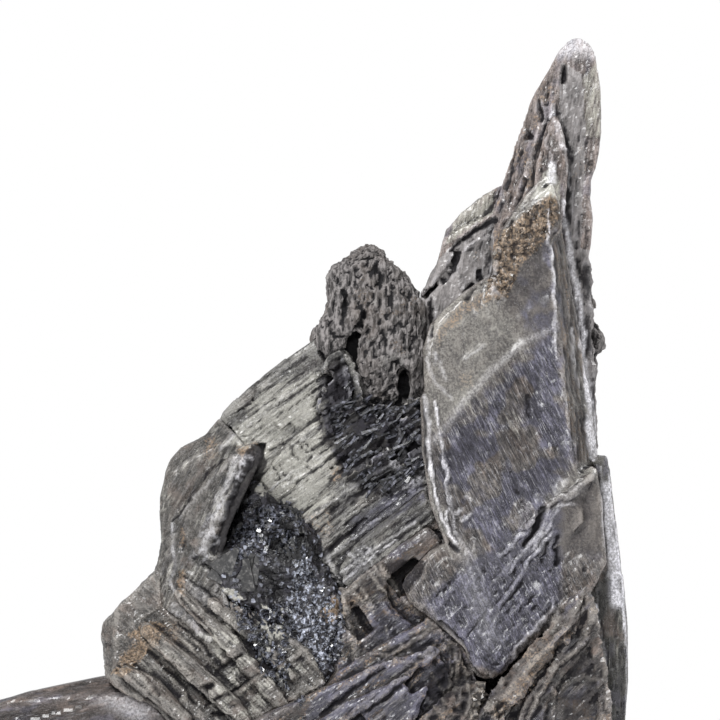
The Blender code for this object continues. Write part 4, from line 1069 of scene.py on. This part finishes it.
# The front blade in the front view.
BLADE_FOOT = [(462, 500), (480, 560), (516, 580), (560, 545), (582, 480), (560, 470), (520, 520), (480, 520)]
BLADE_SHOULDER = [(500, 294), (527, 338), (500, 372), (455, 415), (440, 428)]
BLADE_RIB = [(426, 400), (430, 450), (437, 500), (455, 545)]
BLADE_DIAGONAL = [(552, 330), (520, 345), (490, 372), (465, 400), (432, 442)]
BLADE_SIDE = [(545, 205), (600, 195), (604, 462), (571, 462)]
BLADE_LOWER = [(430, 440), (550, 332), (566, 400), (572, 460), (500, 560), (450, 530)]
LEDGE = [
    (547, 196), (560, 212), (546, 240), (520, 266), (504, 300), (486, 300), (489, 270), (499, 238), (518, 218)
]
LEDGE_EDGE = [(560, 200), (556, 225), (530, 262), (505, 298)]
UPPER_FACE = [(500, 300), (556, 225), (575, 330), (545, 345), (520, 335)]
CORNER_FACE = [(552, 500), (606, 480), (606, 600), (556, 600)]


def iron_blade(skin):
    """Smooths away the steps where the solids of the blade meet."""
    steps_between = [
        patch(skin.rest, BLADE_FOOT, 1.5),
        stroke(skin.rest, BLADE_SHOULDER, 8.0, 4.0),
        0.8 * stroke(skin.rest, BLADE_RIB, 3.0, 2.0),
        stroke(skin.rest, LEDGE_EDGE, 1.5, 1.5),
    ]
    skin.iron(np.maximum.reduce(steps_between) * skin.front, rounds=190)


def blade_areas(skin):
    """Where the blade is crusted, silky, in its lower plate or on its side, and what breaks these up."""
    p, front = skin.rest, skin.front
    w = swayed(p, 5.0, 2.2, 1)
    lower = patch(w, BLADE_LOWER, 3.0)
    plate = ease(62.0, 56.0, p[:, 2])
    return SimpleNamespace(
        grit=patch(w, LEDGE, 0.7) * front,
        chips=pits(p, 1.3, 5),
        lower=lower,
        plate=plate,
        silky=np.maximum(lower, plate),
        side=ease(0.0, 0.4, skin.normals[:, 0]) * front * patch(p, BLADE_SIDE, 0.5),
        flaws=waves(p, (0.9, 0.9, 3.0), 16),
        upper=patch(w, UPPER_FACE, 3.0),
        corner=patch(w, CORNER_FACE, 3.0),
        uneven=w,
    )


def blade_relief(skin, areas):
    p, front = skin.rest, skin.front
    silky = np.maximum(0.12, areas.silky)
    silk = waves(turned(p, SILK), (8.0, 3.0, 0.8), 2)
    crinkles = 0.9 * waves(turned(p, 52), (9.0, 3.0, 1.3), 7) + 0.35 * steps(p, 52, 5.0, 0.8, 15)
    height = 0.45 * silk * silky + 0.7 * waves(p, 9.0, 3) + 0.16 * waves(p, 1.0, 13)
    height += 0.14 * steps(p, SILK, 14.0, 2.0, 4) * front * silky
    height += 0.16 * front * stroke(areas.uneven, BLADE_DIAGONAL, (0.4, 0.8), 1.2)
    height += areas.grit * (0.9 * (0.5 - areas.chips) + 0.3)
    height += areas.side * (0.4 * steps(p, 84, 12.0, 0.8, 6) + 0.7 * areas.flaws)
    return height + areas.plate * front * crinkles


def blade_coat(skin, areas):
    p, front = skin.rest, skin.front
    mottled = ease(0.50, 0.64, fractal(p, (4.0, 4.0, 6.0), 8))
    soft_spots = ease(0.40, 0.70, fractal(turned(p, 40), (14.0, 8.0, 5.0), 10))
    pale = front * (1 - areas.plate) * (1 - areas.lower) * (0.36 + 0.14 * soft_spots)
    streaks = ease(0.40, 0.60, fractal(p, (1.0, 1.0, 6.0), 12))
    # The diagonal's frosting is also a painted highlight, a soft light line.
    coat = {
        "frost_and_highlight": 0.30 * front * stroke(areas.uneven, BLADE_DIAGONAL, (0.3, 0.6), 1.0),
        "violet": front * np.maximum(areas.lower, 0.6 * areas.upper) * ease(0.40, 0.56, fractal(p, 6.0, 9)),
        "pale": pale * (1 - 0.6 * np.maximum(areas.upper, areas.corner)),
        "dark": 0.5 * front * mottled * areas.lower,
        "rust": np.maximum(0.8 * areas.grit, 0.55 * areas.side * streaks),
        "clear": 1 - 0.6 * areas.grit,
        "silk": front * areas.silky,
    }
    deepest(coat, "dark", 0.7 * areas.grit * ease(0.5, 0.8, areas.chips))
    deepest(coat, "dark", areas.side * (0.6 - areas.flaws))
    return coat


def front_blade():
    """The silky blade in front, with its smooth shoulder, crusted ledge and lower plate."""
    skin = Skin("front_blade", voxel=0.40, smooth=True)
    iron_blade(skin)
    areas = blade_areas(skin)
    skin.push(blade_relief(skin, areas))
    material = crystal("smoky_blade", (0.124, 0.111, 0.102), (0.062, 0.055, 0.054), SILK_STREAKS,
                       clearness=0.2, spots=0.3, streak_size=0.3)
    dress(skin, blade_coat(skin, areas), material, frost_and_highlight=0.4)
    grains = grain_material("golden_grains", (0.030, 0.023, 0.019), (0.25, 0.185, 0.13), 0.45, 0.2)
    sprinkle(skin, grains, LEDGE, 170, (0.7, 0.6, 0.5), seed=403, degrees=0, sunk=0.0)


CORNER_SEAM = [(492, 692), (516, 652), (556, 604), (584, 600), (562, 650), (520, 700)]
CORNER_STAIN = [(560, 630), (525, 670), (495, 710)]


def corner_blade():
    """The small twin blade, creased on its left and stained along its groove."""
    skin = Skin("corner_blade", voxel=0.42)
    p, front = skin.rest, skin.front
    w = swayed(p, 3.0, 1.4, 91)
    seam = patch(w, CORNER_SEAM, 1.0) * front
    height = 0.35 * steps(p, CORNER_LINES, 7.0, 0.9, 93) + 1.1 * waves(p, 3.0, 94, octaves=4)
    height += front * 0.9 * (creases(w, 2.6, 92) - 0.5) * ease(36.0, 28.0, p[:, 0])
    skin.push(height + 2.4 * seam * fractal(p, 1.6, 96))
    coat = plain_coat(skin, 95, dark=0.5, rust=0.45, pale=0.25)
    deepest(coat, "rust", 0.5 * front * stroke(w, CORNER_STAIN, 2.4, 1.0))
    material = crystal("corner_crystal", (0.066, 0.058, 0.055), (0.026, 0.022, 0.022), CORNER_LINES,
                       clearness=0.25, frost_and_highlight=SAND, hues=(0.7, 0.6))
    dress(skin, coat, material)


TANGLE = [(425, 640), (445, 630), (475, 670), (510, 665), (500, 719), (400, 719), (430, 690)]
BESIDE_HOLLOW = [
    (306, 540), (330, 560), (344, 600), (342, 650), (300, 700), (290, 690), (330, 640), (326, 590),
]
BELOW_PLATE = [(468, 719), (472, 684), (480, 672), (504, 672), (506, 684), (488, 719)]


def ribbed_crystal():
    """Growth layers, with a tangle of small ridges and crumbs between them and the corner blade."""
    skin = Skin("ribbed_crystal", voxel=0.42)
    p, front = skin.rest, skin.front
    w = swayed(p, 4.0, 1.8, 51)
    height = 0.22 * steps(p, GROWTH, 12.0, 0.8, 52) + 0.16 * steps(p, GROWTH, 20.0, 2.4, 53)
    height += 0.9 * waves(p, 4.0, 55, octaves=4)
    height += patch(w, TANGLE, 1.6) * front * (creases(w, 2.6, 54) - 0.3)
    skin.push(height)
    coat = plain_coat(skin, 56, dark=0.6, rust=0.3, pale=0.2)
    deepest(coat, "dark", front * 0.35 * (laths(p, GROWTH, 30.0, 0.6, 57) > 0.72))
    stains = fractal(turned(p, GROWTH), (6.0, 2.0, 1.0), 58)
    deepest(coat, "rust", 0.5 * front * ease(0.48, 0.60, stains))
    material = crystal("ribbed_crystal", (0.080, 0.070, 0.067), (0.028, 0.024, 0.024), GROWTH,
                       clearness=0.22, streak_size=0.42, frost_and_highlight=SAND, hues=(0.7, 0.6))
    dress(skin, coat, material, frost_and_highlight=0.6)
    crumbs = grain_material("pale_crumbs", (0.030, 0.026, 0.024), (0.34, 0.30, 0.26), 0.5, 0.1)
    sprinkle(skin, dark_crystals, BESIDE_HOLLOW, 160, TINY, seed=406)
    sprinkle(skin, crumbs, BELOW_PLATE, 60, (2.4, 1.7, 1.4), seed=415, sunk=0.0)


def right_prism():
    """The upright prism, whose side face is frosted, with painted light on it, and finely reeded."""
    skin = Skin("right_prism", voxel=0.45, smooth=True)
    p, front = skin.rest, skin.front
    height = 0.34 * steps(p, 88, 16.0, 0.8, 82) + 0.5 * waves(p, 6.0, 83)
    skin.push(height + 0.25 * waves(p, (1.0, 1.0, 2.0), 87))
    coat = plain_coat(skin, 84, dark=0.35, rust=0.15, pale=0.2)
    side = ease(0.45, 0.65, skin.normals[:, 0]) * ease(0.15, 0.4, -skin.normals[:, 1])
    upper = ease(30.0, 50.0, p[:, 2] + 6.0 * fractal(p, 5.0, 88, octaves=2)) * ease(77.0, 73.0, p[:, 2])
    reeds = 0.9 + 0.1 * ease(0.40, 0.55, fractal(p, (0.9, 0.9, 9.0), 85))
    streaks = ease(0.5, 0.66, fractal(p, (1.0, 1.0, 8.0), 86))
    # The side face that faces right gets frosting and painted light.
    deepest(coat, "frost_and_highlight", side * upper * reeds)
    deepest(coat, "dark", 0.5 * front * streaks * ease(46.0, 40.0, p[:, 0]))
    material = crystal("prism_crystal", (0.056, 0.053, 0.047), (0.028, 0.026, 0.023), 88,
                       clearness=0.35, frost_and_highlight=(0.86, 0.85, 0.90))
    dress(skin, coat, material)


FLAP = [(260, 452), (240, 456), (212, 510), (190, 560), (215, 560), (224, 505)]
CRACK = [(252, 444), (268, 444), (268, 472), (252, 502), (238, 548), (216, 554), (219, 528), (231, 498)]


def left_crystal():
    """The rounded crystal, its glittering flap, and the dark crack beside it."""
    skin = Skin("left_crystal", voxel=0.40, smooth=True)
    p, front = skin.rest, skin.front
    w = swayed(p, 4.0, 1.6, 61)
    sparkle = patch(w, FLAP, 0.8) * front
    lower = ease(66.0, 58.0, p[:, 2])
    height = 0.6 * waves(p, 7.0, 62) + (0.2 + 0.3 * lower) * steps(p, 66, 6.0, 1.1, 63)
    skin.push(height + (0.15 + 0.7 * sparkle + 0.4 * lower) * waves(p, 1.1, 64))
    coat = plain_coat(skin, 65, dark=0.25, rust=0.12, pale=0.3)
    # The crack is painted dark: painted shade in it.
    deepest(coat, "dark", patch(w, CRACK, 0.3))
    # The flap's frosting is painted glitter.
    deepest(coat, "frost_and_highlight", 0.6 * sparkle * ease(0.45, 0.6, fractal(p, 1.2, 66)))
    material = crystal("rounded_crystal", (0.116, 0.108, 0.099), (0.056, 0.052, 0.047), 60,
                       clearness=0.3, hues=(0.5, 0.1))
    dress(skin, coat, material)


SMOOTH_FACE = [(161, 569), (172, 590), (120, 639), (104, 632), (100, 610)]
BESIDE_DRUSE = [(220, 620), (300, 600), (320, 660), (250, 719), (200, 719), (215, 680)]
BELOW_HOLLOW = [(222, 572), (262, 592), (290, 640), (290, 690), (262, 670), (244, 630), (216, 592)]


def stained_crystal():
    """Ridges that run down to the right, crossed by growth layers beside the druse."""
    skin = Skin("stained_crystal", voxel=0.40)
    p, front = skin.rest, skin.front
    w = swayed(p, 3.5, 1.6, 71)
    ridged = 1 - 0.8 * patch(w, SMOOTH_FACE, 1.0)
    crossed = patch(w, BESIDE_DRUSE, 2.0)
    ridges = 0.32 * steps(p, STAINED_RIDGES, 9.0, 1.3, 72) + 0.25 * steps(p, STAINED_RIDGES, 6.0, 0.6, 78)
    height = ridges * ridged + 0.7 * waves(p, 5.0, 73) + 0.3 * waves(p, 1.2, 79)
    skin.push(height + crossed * 0.4 * steps(p, GROWTH, 6.0, 1.1, 74))
    coat = plain_coat(skin, 75, dark=0.35, rust=0.2, pale=0.25)
    deepest(coat, "dark", 0.6 * front * crossed * ease(0.45, 0.6, fractal(p, 2.4, 76)))
    deepest(coat, "pale", 0.5 * front * crossed * (laths(p, GROWTH, 7.0, 1.3, 77) > 0.6))
    material = crystal("stained_crystal", (0.152, 0.141, 0.130), (0.060, 0.055, 0.051), STAINED_RIDGES,
                       clearness=0.3, frost_and_highlight=SAND, hues=(0.5, 0.1))
    dress(skin, coat, material)
    sprinkle(skin, dark_crystals, BELOW_HOLLOW, 200, TINY, seed=407)


# The spire's clay, its clear parts, its speckled edge and its left face. The plate grown through it is left
# of PLATE_EDGE, and below NODULES_TOP it is beset with nodules on the right.
CLAY_BAND = [
    (562, 60), (584, 72), (586, 134), (584, 181), (580, 252), (584, 430), (566, 430), (566, 181), (560, 120),
]
CLAY_PLATE = [(410, 290), (443, 255), (460, 237), (493, 217), (500, 290), (500, 450), (410, 450)]
CLEAR_TIP = [(445, 245), (460, 210), (500, 180), (500, 210), (465, 232)]
CLEAR_STRIP = [(586, 135), (585, 75), (598, 60), (605, 100), (603, 140)]
SPECKLED_EDGE = [(584, 135), (604, 135), (596, 200), (592, 250), (582, 250)]
LEFT_FACE = [(510, 150), (553, 65), (558, 110), (545, 170), (540, 230), (490, 240), (490, 190)]
PLATE_EDGE = 27.0
NODULES_TOP = 118.0


def spire_grooves(p):
    """1 along the sharp upright grooves of the left face."""
    return creases(turned(p, 74), (8.0, 3.0, 1.8), 22)


def spire_coat(skin, w, clay, nodular, on_left, on_plate):
    p, front = skin.rest, skin.front
    coat = plain_coat(skin, 26, dark=0.3, rust=0.3, pale=0.25)
    speckled = patch(w, SPECKLED_EDGE, 0.5) * ease(0.46, 0.60, fractal(p, 1.0, 28))
    # The top edge gets frosting and a painted highlight.
    deepest(coat, "frost_and_highlight", 0.7 * ease(157.6, 160.4, w[:, 2]))
    deepest(coat, "rust", 0.5 * on_left * ease(0.40, 0.65, fractal(p, 2.0, 27)))
    # Painted shade in the grooves of the left face.
    deepest(coat, "dark", front * 0.4 * on_left * ease(0.6, 0.9, spire_grooves(p)))
    deepest(coat, "dark", front * 0.7 * speckled)
    deepest(coat, "dark", nodular * (0.5 + 0.4 * ease(0.60, 0.40, fractal(p, 3.0, 29))))
    coat["clay"] = clay
    coat["pale"] = np.maximum(
        0.5 * patch(w, CLEAR_STRIP, 0.4), 0.6 * patch(w, CLEAR_TIP, 0.5) * on_plate
    )
    coat["clear"] = 0.4 + 0.6 * coat["pale"]
    return coat


def rear_spire():
    """The tall spire with its band of clay, and the clay-coated plate grown through its left side."""
    skin = Skin("rear_spire", voxel=0.45)
    p, front = skin.rest, skin.front
    w = swayed(p, 3.0, 1.6, 21)
    on_left = patch(w, LEFT_FACE, 1.0) * front
    on_plate = ease(PLATE_EDGE + 0.4, PLATE_EDGE - 0.4, p[:, 0])
    nodular = ease(NODULES_TOP + 1.0, NODULES_TOP - 1.0, w[:, 2]) * ease(43.4, 44.4, w[:, 0])
    band = patch(w, CLAY_BAND, 0.6) * front
    clay = np.maximum.reduce([band, patch(w, CLAY_PLATE, 0.5) * on_plate, nodular])
    height = 0.2 * steps(p, 82, 7.0, 0.9, 24) + 0.42 * waves(turned(p, 78), (3.0, 1.4, 1.4), 23, octaves=4)
    height += 0.5 * clay * waves(p, (0.8, 0.8, 3.0), 25) + 2.6 * nodular * (fractal(p, 3.0, 29) - 0.35)
    skin.push(height - 0.3 * on_left * ease(0.6, 0.95, spire_grooves(p)))
    material = crystal("spire_crystal", (0.180, 0.152, 0.141), (0.086, 0.072, 0.067), 80,
                       clearness=0.5, pale=(0.50, 0.48, 0.42))
    dress(skin, spire_coat(skin, w, clay, nodular, on_left, on_plate), material)


FAN_DARK = [(312, 400), (345, 350), (360, 400), (424, 380), (430, 480), (380, 500), (345, 480), (325, 440)]
FAN_PALE = [(222, 445), (262, 390), (320, 370), (330, 410), (340, 460), (330, 500), (306, 520), (250, 490)]
FAN_HOLLOW = [
    (326, 400), (350, 380), (362, 396), (398, 410), (420, 390), (426, 470), (400, 484), (366, 492), (345, 464)
]
ABOVE_HOLLOW = [(258, 492), (300, 508), (322, 548), (312, 560), (296, 522), (256, 506)]


def fan_crystal():
    """The clear crystal of parallel layers, with a dark broken hollow full of flakes."""
    skin = Skin("fan_crystal", voxel=0.38)
    p, front = skin.rest, skin.front
    w = swayed(p, 4.0, 3.0, 31)
    dark = patch(w, FAN_DARK, 2.0)
    pale = patch(w, FAN_PALE, 2.0)
    blocks = steps(p, GROWTH, 3.4, 1.5, 34)
    crossing = steps(p, GROWTH + 68, 4.0, 1.9, 37)
    height = (0.35 + 0.2 * dark) * steps(p, GROWTH, 9.0, 0.7, 32)
    height += (0.45 + 0.5 * dark) * steps(p, GROWTH, 17.0, 2.2, 33)
    height += dark * (1.3 * blocks + 1.2 * crossing) + 0.5 * waves(p, 6.0, 35)
    skin.push(height)
    streak = fractal(turned(p, GROWTH), (14.0, 4.0, 1.0), 36)
    coat = {
        # The fan's pale coat is painted light shining through it from behind.
        "pale": pale * (0.45 + 0.55 * ease(0.40, 0.56, streak)) * (1 - dark),
        # The hollow is painted dark, darkest on its lower steps: dark filling, and painted shade in the cavity.
        "dark": front * dark * (0.80 + 0.2 * (blocks + crossing < 0)),
        "violet": 0.6 * dark * (fractal(p, 3.0, 38) > 0.5),
        "clear": 1 - 0.8 * dark,
    }
    deepest(coat, "dark", 0.55 * ease(0.54, 0.66, streak) * (1 - pale))
    material = crystal("clear_crystal", (0.19, 0.184, 0.170), (0.072, 0.067, 0.064), GROWTH,
                       clearness=0.4, absorb=(0.72, 0.72, 0.64), density=25.0, streak_size=0.4,
                       hues=(0.25, 0.3))
    dress(skin, coat, material, frost_and_highlight=0.7)
    # The flakes' bluish light shade is a painted highlight.
    flakes = grain_material("dark_flakes", (0.003, 0.003, 0.004), (0.165, 0.168, 0.205), 0.34, 0.2)
    sprinkle(skin, flakes, FAN_HOLLOW, 150, (3.6, 0.9, 0.7), seed=421, tilt=24)
    sprinkle(skin, flakes, ABOVE_HOLLOW, 90, TINY, seed=408)


# The druse in the front view: its hollows, its scaly strip and pale layers, its shaded edge, and where larger
# crystals stand.
DARK_HOLLOW = [(250, 500), (262, 503), (296, 512), (304, 545), (300, 560), (262, 556), (240, 560), (226, 560)]
LOWER_HOLLOW = [(262, 610), (290, 600), (300, 660), (290, 690), (268, 660)]
SCALY_STRIP = [(300, 540), (316, 575), (334, 604), (334, 655), (300, 684), (285, 660), (292, 590)]
PALE_LAYERS = [(262, 615), (282, 605), (286, 650), (270, 685), (255, 650)]
SHADED_EDGE = [(247, 470), (230, 510), (220, 550)]
LARGE_LEFT = [(218, 552), (236, 550), (238, 572), (222, 576)]
LARGE_MIDDLE = [(244, 566), (256, 566), (258, 586), (246, 588)]
CUP_RIM = [(284, 508), (300, 518), (305, 545), (290, 560), (286, 555), (296, 540), (292, 522)]
CUP = (-15.6, 62.4)  # its place in millimetres
CUP_RADIUS, CUP_DEPTH = 2.8, 2.4


def druse_coat(skin, w):
    p, front = skin.rest, skin.front
    layers = laths(p, GROWTH, 9.0, 1.1, 124) > 0.5
    shaded = np.maximum(spot(w, -14.6, 60.0, 3.6), stroke(w, SHADED_EDGE, 2.4))
    return {
        "pale": 0.8 * front * patch(w, PALE_LAYERS, 1.0) * layers,
        "rust": 0.8 * front * spot(w, -5.4, 48.0, 2.6),
        "dark": 0.8 * front * shaded,
    }


def druse_crust():
    """The crust of tiny crystals, with a cup in it and a silvery strip."""
    skin = Skin("druse_crust", voxel=0.42)
    p = skin.rest
    w = swayed(p, 3.0, 1.6, 121)
    height = 0.9 * (0.5 - pits(p, 1.7, 122)) + 2.6 * waves(p, 4.5, 123)
    height += spot(w, *CUP, CUP_RADIUS + 1.2, 0.2) - CUP_DEPTH * spot(w, *CUP, CUP_RADIUS, 0.2)
    skin.push(height)
    dress(skin, druse_coat(skin, w), druse_material(), frost_and_highlight=0.5, groove_shade=0.8)
    smooth = grain_material("smooth_crystals", (0.016, 0.016, 0.017), (0.120, 0.116, 0.114), 0.30, 0.3)
    # The silver scales' light shade is painted glitter.
    silver = grain_material("silver_scales", (0.012, 0.012, 0.016), (0.50, 0.53, 0.63), 0.20, 0.6)
    small = (1.5, 0.9, 0.7)
    sprinkle(skin, dark_crystals, LOWER_HOLLOW, 110, small, seed=404)
    sprinkle(skin, dark_crystals, DARK_HOLLOW, 230, small, seed=402)
    sprinkle(skin, silver, SCALY_STRIP, 420, (1.3, 0.5, 0.7), seed=405, tilt=50, degrees=70)
    sprinkle(skin, smooth, LARGE_LEFT, 4, (6.0, 3.4, 4.2), seed=411, tilt=18, degrees=65, sunk=0.8)
    sprinkle(skin, smooth, LARGE_MIDDLE, 3, (5.5, 3.4, 3.8), seed=412, tilt=18, degrees=80, sunk=0.8)
    sprinkle(skin, smooth, CUP_RIM, 16, (2.6, 1.2, 1.0), seed=413, tilt=30, degrees=100, sunk=0.2)


FROSTED_TOP = [(100, 700), (130, 693), (160, 710), (140, 720)]


def side_blade():
    """The plain brown blade, frosted on top."""
    skin = Skin("side_blade", voxel=0.6)
    p, front = skin.rest, skin.front
    skin.push(0.4 * waves(p, 9.0, 101) + 0.25 * steps(p, SIDE_LINES, 22.0, 0.9, 102))
    coat = plain_coat(skin, 103, dark=0.2, rust=0.1, pale=0.0)
    coat["frost_and_highlight"] = 0.5 * front * patch(p, FROSTED_TOP, 2.0)
    material = crystal("brown_crystal", (0.062, 0.051, 0.047), (0.034, 0.028, 0.026), SIDE_LINES,
                       clearness=0.12, streak_size=0.6)
    dress(skin, coat, material, frost_and_highlight=0.5)


def back_blade(node, seed):
    """One of the two plain blades on the back."""
    skin = Skin(node, voxel=0.8)
    skin.push(0.8 * waves(skin.rest, 9.0, seed) + 0.4 * steps(skin.rest, 84, 20.0, 2.0, seed + 1))
    coat = plain_coat(skin, seed + 2, dark=0.4, rust=0.35, pale=0.5)
    material = crystal(node, (0.26, 0.25, 0.23), (0.11, 0.105, 0.10), 84, clearness=0.35)
    dress(skin, coat, material)


# Short slits in the knob, painted dark as shade.
SLITS = [[(344, 290), (347, 303), (343, 315)], [(377, 262), (371, 276)], [(362, 307), (361, 326)]]


def clay_matrix():
    """The clay: lumpy and grained upright, with fissures that fade out below the knob."""
    skin = Skin("clay_matrix", voxel=0.61)
    p, front = skin.rest, skin.front
    fissures = creases(p, (1.5, 1.5, 5.0), 119)
    cracks = creases(p, (9.0, 9.0, 14.0), 114, octaves=2)
    broken = ease(0.50, 0.66, fractal(p, 7.0, 118))
    knob = 0.4 + 0.6 * ease(88.0, 98.0, p[:, 2])
    upper = ease(60.0, 92.0, p[:, 2] + 30.0 * waves(p, 12.0, 120))
    height = 1.6 * waves(p, (1.0, 1.0, 2.8), 111, octaves=4) + 1.6 * waves(p, 7.0, 112)
    height += 1.9 * knob * waves(p, (3.2, 3.2, 6.0), 117)
    height -= 0.5 * ease(0.30, 0.05, pits(p, (1.6, 1.6, 2.4), 113))
    height -= 0.7 * ease(0.90, 0.99, cracks) * broken + 0.5 * ease(0.55, 0.95, fissures) * upper
    skin.push(height * ease(0.4, 2.5, p[:, 2]))
    # The fissures and cracks are painted dark: painted shade in them.
    coat = {
        "dark": np.maximum(0.25 * ease(0.6, 0.95, fissures), 0.5 * ease(0.93, 0.99, cracks) * broken),
        "pale": 0.5 * ease(0.56, 0.70, fractal(p, 4.0, 115)),
        "rust": 0.35 * ease(0.60, 0.72, fractal(p, 6.0, 116)),
    }
    deepest(coat, "dark", front * np.maximum.reduce([stroke(p, path, 0.8) for path in SLITS]))
    dress(skin, coat, clay_material(), frost_and_highlight=0.8, edge_curvature=0.10)


# ---------------------------------------------------------------- light, floor and camera


def world():
    """Soft white light from all round, on a plain white backdrop."""
    scene_world = bpy.data.worlds.new("studio")
    bpy.context.scene.world = scene_world
    scene_world.use_nodes = True
    tree = scene_world.node_tree
    backdrop = tree.nodes["Background"]
    backdrop.inputs["Color"].default_value = (1, 1, 1, 1)
    ambient = tree.nodes.new("ShaderNodeBackground")
    ambient.inputs["Color"].default_value = (0.97, 0.98, 1.0, 1)
    ambient.inputs["Strength"].default_value = 0.46
    rays = tree.nodes.new("ShaderNodeLightPath")
    switch = tree.nodes.new("ShaderNodeMixShader")
    tree.links.new(rays.outputs["Is Camera Ray"], switch.inputs["Fac"])
    tree.links.new(ambient.outputs["Background"], switch.inputs[1])
    tree.links.new(backdrop.outputs["Background"], switch.inputs[2])
    tree.links.new(switch.outputs["Shader"], tree.nodes["World Output"].inputs["Surface"])


def lamp(name, place, side, watts):
    """A square soft light, places and sides in metres, that points at the middle of the specimen."""
    light = bpy.data.lights.new(name, "AREA")
    light.size = side
    light.energy = watts
    lamp_object = bpy.data.objects.new(name, light)
    lamp_object.location = place
    direction = Vector((0, 0, 0.08)) - Vector(place)
    lamp_object.rotation_euler = direction.to_track_quat("-Z", "Y").to_euler()
    bpy.context.scene.collection.objects.link(lamp_object)


def pale_floor():
    """A disc half a millimetre below the base."""
    bm = bmesh.new()
    bmesh.ops.create_circle(bm, cap_ends=True, radius=0.46, segments=96)
    mesh = bpy.data.meshes.new("floor")
    bm.to_mesh(mesh)
    bm.free()
    floor = bpy.data.objects.new("floor", mesh)
    floor.location.z = -0.0005
    bpy.context.scene.collection.objects.link(floor)
    mesh.materials.append(floor_material())


def camera():
    """The photograph shows 144 mm across, from 26 to 170 mm above the base, and looks level."""
    distance, across, middle, sensor = 1.5, 0.144, 0.098, 36
    data = bpy.data.cameras.new("camera")
    data.sensor_width = sensor
    data.lens = sensor * distance / across
    data.clip_end = 20
    eye = bpy.data.objects.new("camera", data)
    eye.location = (0, -distance, middle)
    eye.rotation_euler = (math.pi / 2, 0, 0)
    bpy.context.scene.collection.objects.link(eye)
    bpy.context.scene.camera = eye
    bpy.context.scene.view_settings.view_transform = "Standard"


front_blade()
corner_blade()
ribbed_crystal()
right_prism()
left_crystal()
stained_crystal()
rear_spire()
fan_crystal()
druse_crust()
side_blade()
back_blade("back_blade_left", 131)
back_blade("back_blade_right", 141)
clay_matrix()
world()
lamp("key", (-0.40, -0.70, 0.85), 0.30, 12.5)
lamp("rim", (0.60, 0.25, 0.50), 0.30, 4.5)
lamp("sheen", (-0.10, -1.10, 0.42), 0.16, 4.0)
pale_floor()
camera()
